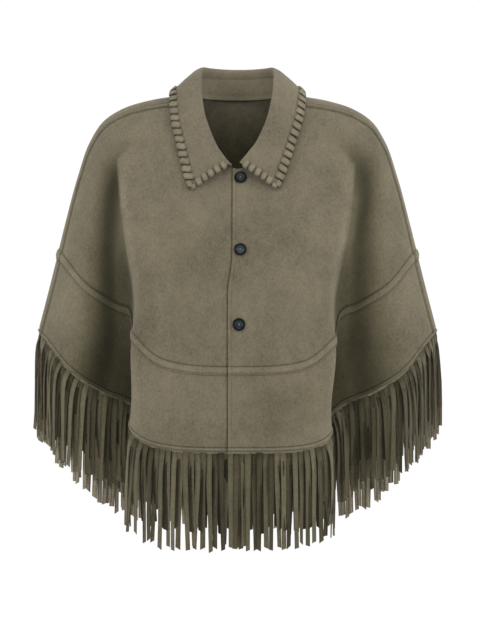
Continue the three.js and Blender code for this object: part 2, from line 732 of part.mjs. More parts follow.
const group = new THREE.Group();
const panels = {
  front_right: frontRight(),
  front_left: frontLeft(),
  back_right: back(-1),
  back_left: back(1),
};
for (const [name, panel] of Object.entries(panels)) {
  group.add(wall(`${name}_upper`, panel.upper, upperSuede));
  group.add(wall(`${name}_band`, panel.band, bandSuede));
  group.add(fringe(`fringe_${name}`, panel.band));
}

const collarLines = evenCollar(LEAF_COLUMNS).map(collarSection);
const leafGrid = sheetGrid(collarLines.map((line) => line.leaf), COLLAR_CLOTH);
const standLines = collarLines.filter((line, i) => i % 2 === 0).map((line) => line.stand);
group.add(wall("collar_stand", sheetGrid(standLines, CLOTH), collarSuede));
group.add(wall("collar_leaf", leafGrid, collarSuede));
group.add(lace("collar_lace", leafGrid));
BUTTONS.forEach((place, i) => group.add(button(`button_${i + 1}`, panels.front_left.upper, place)));

export default group;
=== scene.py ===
import math
from collections import namedtuple

import bpy
import numpy as np
from bpy.props import FloatProperty, FloatVectorProperty, PointerProperty
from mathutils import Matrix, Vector


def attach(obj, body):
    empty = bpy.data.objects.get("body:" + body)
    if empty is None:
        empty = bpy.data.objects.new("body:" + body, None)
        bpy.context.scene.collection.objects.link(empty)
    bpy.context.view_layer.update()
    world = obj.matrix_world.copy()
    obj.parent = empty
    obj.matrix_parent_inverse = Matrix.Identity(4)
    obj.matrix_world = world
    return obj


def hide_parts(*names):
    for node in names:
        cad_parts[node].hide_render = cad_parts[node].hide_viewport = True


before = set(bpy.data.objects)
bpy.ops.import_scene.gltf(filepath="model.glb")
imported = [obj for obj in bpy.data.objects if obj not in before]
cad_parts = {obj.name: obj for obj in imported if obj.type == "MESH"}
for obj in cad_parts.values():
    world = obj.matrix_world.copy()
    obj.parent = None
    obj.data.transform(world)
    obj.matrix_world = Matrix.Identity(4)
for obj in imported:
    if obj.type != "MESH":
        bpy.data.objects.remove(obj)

bl_info = {
    "name": "Fringe cape",
    "version": (1, 0, 0),
    "blender": (4, 5, 0),
    "location": "3D View > Sidebar > Cape",
    "description": "Dresses the fringe cape with fine suede panels, seams, lacing, buttons and fringe",
    "category": "Object",
}

# A place on the cape is an angle in degrees round the body, 0 at the centre front and positive
# towards +X, and a share s of the way down the cloth, 0 at the neck and 1 at the hem.
# Shapes are worked out in millimetres, and new_piece turns them into metres.

MM = 1000

# Cloth, the gap between sewn layers, and the strip behind the hem
CLOTH = 1.4
GAP = 0.3
LAYER = 1.7
COLLAR_CLOTH = 2.2
STRIP_GAP = 0.9
HEM_LEVEL = (CLOTH + STRIP_GAP + CLOTH + GAP) / LAYER

# Lap of the left front over the right one, as distances from the centre
LAP_EDGE_NECK = -8
LAP_EDGE_HEM = -15
UNDERLAP = 15
LAP_FADE = 27

# Shares of the way down where the upper cloth climbs the band, ends, and where the band begins
SEAM_TOP = 0.705
SEAM_FOOT = 0.735
BAND_TOP = 0.7075

# Stitched lines: shares of the way down, or distances from an edge
SEAM_STITCHES = (0.7038, 0.73)
HEM_STITCH = 0.9905
BAND_STITCHES_FROM = 0.741
EDGE_STITCH = 5.8
SIDE_STITCHES = (1.6, 9.8)
CENTRE_STITCH = 3.2
STAND_STITCH = 8.5
STAND_TOP_STITCH = 2.2
FIRST_STITCHED_ROW = 4
COVERED_COLUMNS = 16

# Collar and lace
STITCHES_ROUND_COLLAR = 52
STITCHES_ON_FRONT_EDGE = 6
COLUMNS_A_STITCH = 8
NECK_GAP = 0.8
ROLL_RADIUS = 3
HANG_FADE = 0.55
LEFT_HANG = [-7.5, -2.5, -5.0]
RIGHT_HANG = [-3.5, -3.2, -6.5]

# Buttons: centres as distances across and shares down the front
BUTTON_RADIUS = 10
BUTTON_FOOT = LAYER + CLOTH + 0.5
BUTTON_PLACES = [(5, 0.034), (4.5, 0.288), (2.4, 0.556)]
BUTTON_SIDES = 80
HOLE_OFFSET = 1.7
HOLE_RADIUS = 1.15
HOLE_DEPTH = 1.7

# Painted shade on the floors of grooves, and painted light on ridges and along the crests of the front folds
SEAM_PAINTED_SHADE = 0.5
RIDGE_PAINTED_LIGHT = 0.16
CREST_PAINTED_HIGHLIGHT = 0.22

# Line of the band seam and hem: the dip round the arms, then bells by height, angle and half width. The
# crest's angle is given for the right and left fold, and the inside height at the seam and at the hem.
ARM_DIP = 0.03
CREST_ANGLES = (35.9, 32)
CREST_HEIGHT, CREST_WIDTH = 0.031, 6.5
INSIDE_HEIGHTS, INSIDE_ANGLE, INSIDE_WIDTH = (0.042, 0.024), 45, 6
SAG_HEIGHT, SAG_ANGLE, SAG_WIDTH = 0.013, 63, 8

# Shifts in degrees and their weights, whose mean rounds the folds
ROUNDING = ((-3.2, 1), (-1.6, 4), (0, 6), (1.6, 4), (3.2, 1))

# Millimetres round the body in a degree, for creases and for the cloth's map, and down all the cloth
CREASE_DEGREE = 3.1
MAP_DEGREE = 3.2
CLOTH_DROP = 560

# Close columns as distances from an edge: front lap, cloth under it, side seam, its ridge, back seam
EDGE_STEPS = (0, 0.4, 1, 2, 3.2, 4.4, 5.2, 5.8, 6.4, 7.2, 8.5, 10.5)
UNDER_STEPS = (-8.5, -7.2, -6.4, -5.8, -5.2, -4.4, -2.5, -0.8, 1, 4)
SIDE_STEPS = (5, 4, 3, 2.2, 1.6, 1.1, 0.6, 0)
RIDGE_STEPS = (0, 0.5, 1.1, 1.6, 2.1, 2.8, 4, 5.5, 7, 8.3, 9.3, 10, 10.6, 11.2, 12, 13, 14.2)
CENTRE_STEPS = (5, 4.2, 3.5, 3, 2.4, 1.6, 1, 0.5, 0)

# Close rows as shares: the lap over the band, the band's top and the welt at the hem
SEAM_ROWS = [
    0.695, 0.6975, 0.6995, 0.701, 0.7025, 0.7038, SEAM_TOP, 0.7062, 0.7075, 0.709, 0.711, 0.7135, 0.7165,
    0.72, 0.7235, 0.7265, 0.7285, 0.73, 0.7315, 0.733, 0.7342, SEAM_FOOT,
]
BAND_TOP_ROWS = [BAND_TOP, 0.715, 0.725, SEAM_FOOT, 0.738, 0.741, 0.7445, 0.75]
WELT_ROWS = [0.978, 0.981, 0.984, 0.9865, 0.9885, 0.99, 0.9915, 0.993, 0.9945, 0.996, 0.9975, 0.999, 1.0]
STRIP_ROWS = (0.981, 0.99, 1.0)

FRINGE_SEED = 7
LACE_SEED = 3

# Rings of the cloth from the neck to the hem: half width and height at the sides, depth and height
# at the centre front and centre back, how late the height drops between them, and squareness.
RING_NAMES = [
    "s", "half_width", "side_z", "front_depth", "front_z", "back_depth", "back_z", "droop", "square",
]
RINGS = dict(zip(RING_NAMES, np.array([
    [0.00, 66, 8, 70, -118, 60, 8, 2.0, 0.00],
    [0.08, 107, 4, 86, -154, 76, -27, 2.0, 0.02],
    [0.16, 147, -3, 104, -190, 93, -70, 2.1, 0.05],
    [0.24, 187, -16, 120, -226, 106, -114, 2.2, 0.10],
    [0.31, 217, -36, 130, -258, 114, -155, 2.3, 0.14],
    [0.38, 237, -66, 136, -288, 119, -196, 2.5, 0.18],
    [0.50, 258, -125, 142, -340, 125, -265, 2.8, 0.22],
    [0.65, 278, -199, 148, -406, 131, -352, 3.1, 0.25],
    [0.82, 299, -285, 154, -481, 138, -451, 3.3, 0.26],
    [1.00, 322, -375, 160, -560, 146, -556, 3.4, 0.26],
]).T))

# Large folds: side, valley angle high up and at the hem, power of its swing between them, start, full
# share, depth, width towards the body and away from it, how far the arm side is drawn in, and how many
# degrees the valley bows outwards.
Fold = namedtuple("Fold", "side top hem power start full depth near far drawn bow")
FOLDS = [
    Fold(-1, 59.9, 40.8, 5.6, 0.32, 0.95, 84, 5.2, 18, 56, 2.8),
    Fold(1, 57.0, 37.3, 5.0, 0.32, 0.95, 74, 6.0, 18, 62, 4.2),
    Fold(-1, 118, 134, 3, 0.36, 1.0, 36, 13, 13, 0, 0),
    Fold(1, 118, 135, 3, 0.36, 1.0, 34, 13, 13, 0, 0),
]
BOW_SHARE, BOW_HEIGHT = 0.72, 0.13

# Broad patches of painted shade: angle and share of the middle, half width and half height, and strength, a
# negative one being painted light.
PAINTED_SHADE_PATCHES = [
    (-17, 0.34, 14, 0.12, 0.16),
    (-15, 0.6, 13, 0.12, 0.12),
    (13, 0.86, 13, 0.1, 0.24),
    (-80, 0.7, 14, 0.3, -0.16),
    (80, 0.75, 14, 0.3, -0.16),
]

# Where the painted shade beside a front fold lies darkest: side, angle low down, how much further out it
# starts, half width in degrees and strength.
FOLD_PAINTED_SHADE = [(-1, 55.5, 1.0, 7.6, 1.2), (1, 52.5, 7.0, 9.0, 1.08)]

# Low waves: angle, half width in degrees, height at the hem, and the share where each starts.
WAVES = [
    (-15, 9, 8, 0.4), (16, 9, 7, 0.4), (-66, 9, 5, 0.5), (64, 9, 5, 0.5),
    (-106, 8, 8, 0.5), (104, 8, 8, 0.5), (170, 8, 6, 0.5), (-158, 8, 7, 0.5),
]

# The side seam: shares of the way down, and its angle at each
SIDE_SEAM_S = np.array([0, 0.08, 0.16, 0.31, 0.5, 1])
SIDE_SEAM_ANGLE = np.array([66, 70, 73, 77, 79.5, 81.5])

# Soft creases laid one by one: angle and share where each starts and ends, half width and height in
# millimetres, a negative height being a trough.
CREASES = [
    (-57, 0.27, -50, 0.50, 10, -2.2),
    (-47, 0.30, -43, 0.56, 9, 1.8),
    (57, 0.27, 50, 0.52, 10, -2.0),
    (48, 0.30, 43, 0.58, 9, 1.8),
    (-30, 0.12, -22, 0.42, 16, -1.4),
    (27, 0.14, 21, 0.40, 15, -1.3),
    (-12, 0.34, -26, 0.58, 13, 1.1),
    (19, 0.42, 31, 0.63, 14, -1.2),
    (-34, 0.62, -27, 0.96, 12, 1.2),
    (9, 0.76, 12, 0.99, 11, -1.0),
    (-9, 0.78, -17, 0.98, 12, -1.2),
    (30, 0.74, 25, 0.98, 12, 1.1),
    (-72, 0.50, -66, 0.95, 12, -1.6),
    (71, 0.52, 66, 0.95, 12, -1.5),
    (-60, 0.62, -56, 0.98, 10, 1.3),
    (58, 0.62, 55, 0.98, 10, 1.3),
    (100, 0.30, 108, 0.70, 14, -1.8),
    (-100, 0.30, -109, 0.70, 14, -1.8),
    (150, 0.10, 158, 0.50, 18, 1.4),
    (-146, 0.12, -152, 0.52, 18, -1.4),
]

# The collar from the centre front to the centre back: the angle on the neck edge, the roll line,
# the place and lift of its outer edge over the cape, and the stand's share of the inside height.
COLLAR_NAMES = ["neck", "roll_x", "roll_y", "roll_z", "edge_angle", "edge_s", "edge_lift", "stand"]
COLLAR = dict(zip(COLLAR_NAMES, np.array([
    [8, 10.5, -84, -104, 29.5, 0.155, 6, 0.3],
    [20, 24, -81, -87, 34.5, 0.145, 6, 0.35],
    [30, 36, -76, -70, 39.5, 0.1325, 6, 0.4],
    [45, 50, -66, -36, 49, 0.115, 6, 0.45],
    [60, 58, -50, 3, 59, 0.104, 7, 0.5],
    [75, 59.5, -28, 30, 70.5, 0.09, 8, 0.52],
    [90, 60, -3, 48, 87, 0.077, 8, 0.6],
    [110, 56, 18, 54, 107, 0.067, 10, 0.64],
    [135, 43, 42, 55, 137.5, 0.0475, 12, 0.65],
    [160, 21, 58, 55, 158, 0.03, 14, 0.65],
    [180, 0, 62, 55, 180, 0.0225, 14, 0.65],
]).T))

UP = np.array([0.0, 0.0, 1.0])
DOWN = -UP


def ease(t):
    """Goes from 0 to 1 with level ends: three t squared less two t cubed."""
    t = np.clip(t, 0, 1)
    return t * t * (3 - 2 * t)


def bell(t):
    """A bell curve of height 1 at 0."""
    return np.exp(-t * t)


def mix(a, b, t):
    return a + (b - a) * t


def unit(v):
    return v / np.linalg.norm(v, axis=-1, keepdims=True)


def dot(a, b):
    return np.sum(a * b, axis=-1, keepdims=True)


def circle(count, start=0):
    """Even turns round a circle, in radians."""
    return np.radians(np.arange(count) * (360 / count) + start)


def curve_through(xs, ys, x):
    """Cubic pieces through rows of a table, whose slopes come from both neighbours."""
    x = np.asarray(x, float)
    ys = np.asarray(ys, float)
    slopes = np.gradient(ys, xs, axis=0)
    i = np.clip(np.searchsorted(xs, x, side="right") - 1, 0, len(xs) - 2)
    h = xs[i + 1] - xs[i]
    t = (x - xs[i]) / h
    extra = (...,) + (None,) * (ys.ndim - 1)
    h, t = h[extra], t[extra]
    return (
        (1 + 2 * t) * (1 - t) ** 2 * ys[i]
        + t * (1 - t) ** 2 * h * slopes[i]
        + t * t * (3 - 2 * t) * ys[i + 1]
        + t * t * (t - 1) * h * slopes[i + 1]
    )


def ring(name, s):
    return curve_through(RINGS["s"], RINGS[name], s)


def valley_angle(fold, s):
    """A fold's valley swings from its top angle to its hem angle, by a power of what is left of the way,
    and bows outwards above the hem by a bell."""
    down = np.clip((s - fold.start) / (1 - fold.start), 0, 1)
    swing = (fold.top - fold.hem) * (1 - down) ** fold.power
    return fold.hem + swing + fold.bow * bell((s - BOW_SHARE) / BOW_HEIGHT)


def sharp_form(angle, s):
    """An oval ring, half width times sine across and depth times cosine deep, whose height drops from the
    side to the centre by a power of the sine; bells push it in at the folds and raise it at the waves."""
    sin = np.sin(np.radians(angle))
    cos = np.cos(np.radians(angle))
    front = cos >= 0
    depth = np.where(front, ring("front_depth", s), ring("back_depth", s))
    end_z = np.where(front, ring("front_z", s), ring("back_z", s))
    x = ring("half_width", s) * sin
    y = -depth * cos * (1 + ring("square", s) * sin * sin)
    z = end_z + (ring("side_z", s) - end_z) * np.abs(sin) ** ring("droop", s)
    for fold in FOLDS:
        turned = angle * fold.side
        grown = ease((s - fold.start) / (fold.full - fold.start)) * (turned > 0)
        valley = valley_angle(fold, s)
        away = turned - valley
        inward = 1 if fold.hem < 90 else -1
        y = y + inward * fold.depth * grown * bell(away / np.where(away < 0, fold.near, fold.far))
        if fold.drawn:
            share = ease((away / fold.near + 1.9) / 2.4) * (1 - ease(away / (90 - valley)))
            x = x - fold.side * fold.drawn * grown * share
    for wave_angle, width, height, start in WAVES:
        away = np.mod(angle - wave_angle + 180, 360) - 180
        raised = height * ease((s - start) / (1 - start)) * bell(away / width)
        x = x + raised * sin
        y = y - raised * cos
    return np.stack([x, y, z], -1)


def form(angle, s):
    """The inner face of the cloth: the mean of the sharp form at five angles, which rounds the folds."""
    angle, s = np.broadcast_arrays(np.asarray(angle, float), np.asarray(s, float))
    angle = np.where(angle > 180, angle - 360, angle)
    total = sum(sharp_form(angle + shift, s) * weight for shift, weight in ROUNDING)
    return total / sum(weight for _, weight in ROUNDING)


def outward(angle, s):
    """Unit normal: the step down the cloth crossed with the step round it."""
    along = form(angle + 0.4, s) - form(angle - 0.4, s)
    down = form(angle, s + 0.004) - form(angle, s - 0.004)
    return unit(np.cross(down, along))


def shifted(angle, s, length):
    """Moves an angle along the ring by a length in millimetres."""
    step = form(angle + 0.5, s) - form(angle - 0.5, s)
    return angle + length / np.linalg.norm(step, axis=-1)


def lowered(angle, s):
    """The band seam runs a little lower round the arms and back than across the front. The seam and the
    hem rise by a bell at the crest of each front fold and by another one inside it, which begins past
    the valley, and they sag by a third on the arm."""
    away = np.abs(angle)
    turn = ease((away - 52) / 20)
    dip = ARM_DIP * turn * np.minimum(1, np.minimum(s / SEAM_TOP, (1 - s) / (1 - SEAM_FOOT)))
    crest = np.where(angle < 0, *CREST_ANGLES)
    valley = np.where(angle < 0, valley_angle(front_fold(-1), s), valley_angle(front_fold(1), s))
    height = mix(*INSIDE_HEIGHTS, ease((s - 0.74) / 0.26))
    inside = height * bell((away - INSIDE_ANGLE) / INSIDE_WIDTH) * ease((away - valley + 2) / 4)
    rise = CREST_HEIGHT * bell((away - crest) / CREST_WIDTH) + inside
    rise = rise - SAG_HEIGHT * bell((away - SAG_ANGLE) / SAG_WIDTH)
    return s + dip - rise * ease((s - 0.45) / 0.25)


def creases(angle, s):
    """Sum of soft troughs and rises along lines on the cloth, each a bell across its line that fades
    over the last third of its length at either end."""
    total = 0
    for a0, s0, a1, s1, width, height in CREASES:
        x, y = (angle - a0) * CREASE_DEGREE, (s - s0) * CLOTH_DROP
        dx, dy = (a1 - a0) * CREASE_DEGREE, (s1 - s0) * CLOTH_DROP
        length = math.hypot(dx, dy)
        t = (x * dx + y * dy) / length**2
        off = (x * dy - y * dx) / length
        total = total + height * bell(off / width) * ease(t * 3) * ease((1 - t) * 3)
    return total


def front_fold(side):
    return next(fold for fold in FOLDS if fold.side == side and fold.hem < 90)


def painted_broad_shading(angle, s):
    """Painted shade, with some painted light: broad patches, each a bell either way, and painted shade beside
    the
    front folds: a bell round a line on each arm, level from there to the valley and gone at the crest, with a
    narrow bell of painted highlight along the crest itself."""
    total = 0
    for middle, low, width, height, strength in PAINTED_SHADE_PATCHES:
        total = total + strength * bell((angle - middle) / width) * bell((s - low) / height)
    for side, low, out, width, strength in FOLD_PAINTED_SHADE:
        fold = front_fold(side)
        turned = angle * side
        valley, near = valley_angle(fold, s), fold.near
        middle = low + out * (1 - ease((s - 0.36) / 0.16))
        shade_bell = bell((turned - middle) / width / mix(0.65, 1, ease((s - 0.22) / 0.2)))
        level = np.where(turned < middle, np.maximum(shade_bell, mix(0.5, 0.8, ease((s - 0.4) / 0.2))), shade_bell)
        low_down = ease((s - 0.5) / 0.35)
        edge = turned - valley + mix(1.2, 6.6, low_down)
        cut = ease(edge / mix(near - 2.8, 1.8, low_down))
        grown = ease((s - 0.18) / 0.2) * strength
        total = total + level * cut * grown - CREST_PAINTED_HIGHLIGHT * grown * bell((edge + 2.6) / 2.8)
    return total


def across(x, s):
    return np.degrees(np.arcsin(x / ring("half_width", s)))


def lap_x(s):
    return mix(LAP_EDGE_NECK, LAP_EDGE_HEM, ease((s - 0.3) / 0.15))


def seam_angle(s):
    return curve_through(SIDE_SEAM_S, SIDE_SEAM_ANGLE, s)


def valley_column(side, s):
    return np.minimum(valley_angle(front_fold(side), s), mix(42, 60, ease(s / 0.3)))


def front_angles(side, s, spacing):
    """Unsigned angles from the end of the lap to the side seam: even steps to the fold's valley and on to
    the seam, then close steps at its stitching."""
    start, valley = across(LAP_FADE, s), valley_column(side, s)
    seam = seam_angle(s)
    near_end = shifted(seam, s, -6)
    near = [mix(start, valley, t) for t in np.linspace(0, 1, int(150 / spacing))]
    far = [mix(valley, near_end, t) for t in np.linspace(0, 1, int(215 / spacing))[1:]]
    edge = [shifted(seam, s, -d) for d in SIDE_STEPS]
    return near + far + edge


def back_angles(s, spacing):
    """Unsigned angles from the side seam to the centre back, close together over the seam's ridge."""
    seam = seam_angle(s)
    ridge = [shifted(seam, s, d) for d in RIDGE_STEPS]
    start, end = ridge[-1], shifted(180, s, -6)
    rest = [mix(start, end, t) for t in np.linspace(0, 1, int(400 / spacing))[1:]]
    centre = [shifted(180, s, -d) for d in CENTRE_STEPS]
    return ridge + rest + centre


def upper_rows(spacing):
    """Shares down the upper cloth, close together at its lap over the band."""
    return np.concatenate([np.linspace(0, 0.692, int(400 / spacing)), SEAM_ROWS])


def band_rows(spacing):
    """Shares down the band, close together at its top and over the welt at the hem."""
    plain = np.linspace(BAND_TOP_ROWS[-1], 0.975, int(130 / spacing))[1:]
    return np.concatenate([BAND_TOP_ROWS, plain, WELT_ROWS])


def lengths(points, axis):
    """Length run along one direction of a grid of points, from its first line."""
    step = np.linalg.norm(np.diff(points, axis=axis), axis=-1)
    first = np.zeros_like(np.take(step, [0], axis=axis))
    return np.concatenate([first, np.cumsum(step, axis=axis)], axis=axis)


def groove(distance, depth, width):
    """A stitched line's trough: a bell across the line."""
    return -depth * bell(distance / width)


def painted_panel_shading(grid, relief):
    """Painted shade in the folds and on the floors of the seams' grooves, and painted light on their ridges.
    """
    dark, pale = np.clip(-relief / 1.2, 0, 1), np.clip(relief, 0, 1)
    return painted_broad_shading(grid["angle"], grid["share"]) + SEAM_PAINTED_SHADE * dark - RIDGE_PAINTED_LIGHT * pale


def hump(distance, width, height):
    """Half a sine wave between 0 and width."""
    return height * np.sin(np.pi * np.clip(distance / width, 0, 1))


def rounded(distance, amount=0.5, width=0.7):
    """Rolls the outer face down at a cut edge."""
    return -amount * np.clip(1 - distance / width, 0, 1) ** 2


def panel_grid(angles, rows):
    """Places of one panel: angles from its columns, shares from its rows, with points and normals."""
    s = np.broadcast_to(rows, (len(angles), len(rows)))
    angle = np.array(angles)
    share = lowered(angle, s)
    grid = {"angle": angle, "s": s, "share": share}
    grid["point"] = form(angle, share)
    grid["normal"] = outward(angle, share)
    grid["point"] = grid["point"] + grid["normal"] * creases(angle, share)[..., None]
    grid["round"] = lengths(grid["point"], 0)
    grid["down"] = lengths(grid["point"], 1)
    return grid


def seam_relief(grid):
    """The upper cloth's lap over the band: it climbs onto the band, swells between two stitched lines
    and ends in a rounded edge."""
    top = grid["down"][:, [np.argmin(np.abs(grid["s"][0] - SEAM_TOP))]]
    after = grid["down"] - top
    lap = grid["down"][:, -1:] - top
    extra = groove(after + 0.6, 1.5, 1.4) + hump(after, lap, 1.1) + groove(after - lap + 2.6, 1.3, 1.2)
    return ease((after + 3.6) / 3.4), extra + rounded(lap - after, 0.8, 1.0)


def hem_relief(grid):
    """The welt at the hem: a stitched groove with a swelling below it."""
    above = grid["down"][:, -1:] - grid["down"]
    return groove(above - 5.0, 1.2, 1.0) + hump(above, 4.8, 1.3) + rounded(above, 0.8, 0.9)


def front_left_panels(spacing):
    """The wearer's left front, which laps over the right: its grids with the heights of both faces."""
    out = {}
    for part, rows in (("upper", upper_rows(spacing)), ("band", band_rows(spacing))):
        x0 = lap_x(rows)
        close = [across(x0 + d, rows) for d in EDGE_STEPS]
        wide = [mix(close[-1], across(LAP_FADE, rows), t) for t in np.linspace(0, 1, 10)[1:-1]]
        grid = panel_grid(close + wide + front_angles(1, rows, spacing), rows)
        x = ring("half_width", grid["s"]) * np.sin(np.radians(grid["angle"]))
        over = 1 - ease((x - UNDERLAP) / (LAP_FADE - UNDERLAP))
        front = grid["round"]
        edge = hump(front, EDGE_STITCH, 0.5) + rounded(front, 0.7, 1.0)
        line = groove(front - EDGE_STITCH, 0.45, 1.0)
        seam = rounded(front[-1:] - front)
        if part == "upper":
            climbed, extra = seam_relief(grid)
            level = climbed + over * (1 + climbed)
        else:
            s = grid["s"]
            down = 2 - ease((s - SEAM_FOOT) / 0.015) + (HEM_LEVEL - 1) * ease((s - 0.93) / 0.04)
            level = over * down
            extra = hem_relief(grid)
        grid["low"] = level * LAYER
        grid["high"] = grid["low"] + CLOTH + extra + edge + seam + line
        grid["laid"] = painted_panel_shading(grid, extra + edge + seam)
        out[part] = grid
    return out


def front_right_panels(spacing):
    """The wearer's right front, whose edge lies under the left one."""
    out = {}
    for part, rows in (("upper", upper_rows(spacing)), ("band", band_rows(spacing))):
        x0 = lap_x(rows)
        under = [across(x0 + d, rows) for d in UNDER_STEPS]
        wide = [mix(across(-LAP_FADE, rows), under[0], t) for t in np.linspace(0, 1, 6)[1:-1]]
        hidden = [mix(under[-1], across(UNDERLAP, rows), t) for t in np.linspace(0, 1, 8)[1:]]
        fan = [-a for a in reversed(front_angles(-1, rows, spacing))]
        grid = panel_grid(fan + wide + under + hidden, rows)
        x = ring("half_width", grid["s"]) * np.sin(np.radians(grid["angle"]))
        edge = groove(x - lap_x(grid["s"]) + 6.0, 0.25, 1.2) + rounded(grid["round"])
        if part == "upper":
            level, extra = seam_relief(grid)
        else:
            level, extra = 0 * x, hem_relief(grid)
        grid["low"] = level * LAYER
        grid["high"] = grid["low"] + CLOTH + extra + edge
        # Painted shadow of the left front's edge, along the line where it lies over this one
        beside = np.abs(x - lap_x(grid["s"]))
        grid["laid"] = painted_panel_shading(grid, extra) + 1.0 * bell(beside / 1.8)
        out[part] = grid
    return out


def back_panels(side, spacing):
    """One half of the back, with the side seam's ridge along its edge and the centre back seam."""
    out = {}
    for part, rows in (("upper", upper_rows(spacing)), ("band", band_rows(spacing))):
        angles = back_angles(rows, spacing)
        if side < 0:
            angles = [-a for a in reversed(angles)]
        grid = panel_grid(angles, rows)
        seam = grid["round"] if side > 0 else grid["round"][-1:] - grid["round"]
        centre = grid["round"][-1:] - grid["round"] if side > 0 else grid["round"]
        lines = groove(seam - SIDE_STITCHES[0], 1.5, 1.2) + groove(seam - SIDE_STITCHES[1], 1.7, 1.3)
        ridge = 1.2 * (1 - ease((seam - 10) / 3.6)) + hump(seam, 11, 0.8) + lines
        if part == "upper":
            level, extra = seam_relief(grid)
        else:
            level, extra = 0 * seam, hem_relief(grid)
            ridge = ridge * ease((grid["s"] - SEAM_FOOT) / 0.008)
        middle = groove(centre - CENTRE_STITCH, 0.8, 1.1) + rounded(centre, 0.7, 1.2)
        middle = middle + rounded(seam, 0.8, 1.0)
        grid["high"] = level * LAYER + CLOTH + extra + ridge + middle
        grid["low"] = level * LAYER + 0.5 * bell(centre / 1.2)
        grid["laid"] = painted_panel_shading(grid, extra + lines + middle)
        out[part] = grid
    return out


def on_grid(grid, height):
    """Points at a height over the grid's places, along their normals."""
    return grid["point"] + grid["normal"] * np.asarray(height)[..., None]


def sample(values, column, row):
    """Values of a grid between its places, from the four round each, weighted by nearness."""
    i = np.clip(np.floor(column).astype(int), 0, values.shape[0] - 2)
    j = np.clip(np.floor(row).astype(int), 0, values.shape[1] - 2)
    a, b = (column - i)[..., None], (row - j)[..., None]
    return (
        values[i, j] * (1 - a) * (1 - b)
        + values[i + 1, j] * a * (1 - b)
        + values[i, j + 1] * (1 - a) * b
        + values[i + 1, j + 1] * a * b
    )


def quads(index):
    """Faces of a grid of vertex numbers, turned to the outward side."""
    return np.stack([index[:-1, :-1], index[:-1, 1:], index[1:, 1:], index[1:, :-1]], -1).reshape(-1, 4)


def shell(outer, inner):
    """Two grids of points, one over the other, closed round their rim."""
    columns, rows = outer.shape[:2]
    count = columns * rows
    index = np.arange(count).reshape(columns, rows)
    rim = np.concatenate([index[0, :-1], index[:-1, -1], index[-1, :0:-1], index[:0:-1, 0]])
    after = np.roll(rim, -1)
    sides = np.stack([after, rim, rim + count, after + count], -1)
    faces = np.concatenate([quads(index), quads(index + count)[:, ::-1], sides])
    return np.concatenate([outer.reshape(-1, 3), inner.reshape(-1, 3)]), faces


def tubes(rings):
    """Closed rods from many sets of rings, shape (rods, rings, points round, 3): side faces and end caps."""
    rods, count, around = rings.shape[:3]
    index = np.arange(rods * count * around).reshape(rods, count, around)
    turned = np.roll(index, -1, axis=2)
    sides = np.stack([index[:, :-1], turned[:, :-1], turned[:, 1:], index[:, 1:]], -1).reshape(-1, 4)
    caps = [*index[:, 0, ::-1].tolist(), *index[:, -1].tolist()]
    return rings.reshape(-1, 3), sides.tolist() + caps


def new_piece(name, shape, material, nodes=(), uv=None, shade=None, sharp=48):
    """Makes a mesh from points in millimetres and faces, smooth but at its sharp edges, and rides it."""
    points, faces = shape
    mesh = bpy.data.meshes.new(name)
    faces = faces if isinstance(faces, list) else faces.tolist()
    mesh.from_pydata((points / MM).tolist(), [], faces)
    mesh.polygons.foreach_set("use_smooth", np.ones(len(mesh.polygons), bool))
    mesh.set_sharp_from_angle(angle=math.radians(sharp))
    if uv is not None:
        corner = np.empty(len(mesh.loops), np.int32)
        mesh.loops.foreach_get("vertex_index", corner)
        mesh.uv_layers.new(name="cloth").data.foreach_set("uv", uv[corner].astype(np.float32).ravel())
    # Each point's painted shade and painted light, which the materials turn into darker and paler colour
    if shade is not None:
        laid = mesh.attributes.new("nap_laid", "FLOAT", "POINT")
        laid.data.foreach_set("value", shade.astype(np.float32))
    mesh.materials.append(material)
    mesh.update()
    piece = bpy.data.objects.new(name, mesh)
    bpy.context.scene.collection.objects.link(piece)
    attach(piece, "root")
    if nodes:
        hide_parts(*nodes)
    return piece


def cloth_uv(grid):
    """Flat place of each grid place in metres: round the body, and down the cloth."""
    flat = np.stack([grid["angle"] * MAP_DEGREE, grid["share"] * CLOTH_DROP], -1).reshape(-1, 2) / MM
    return np.concatenate([flat, flat])


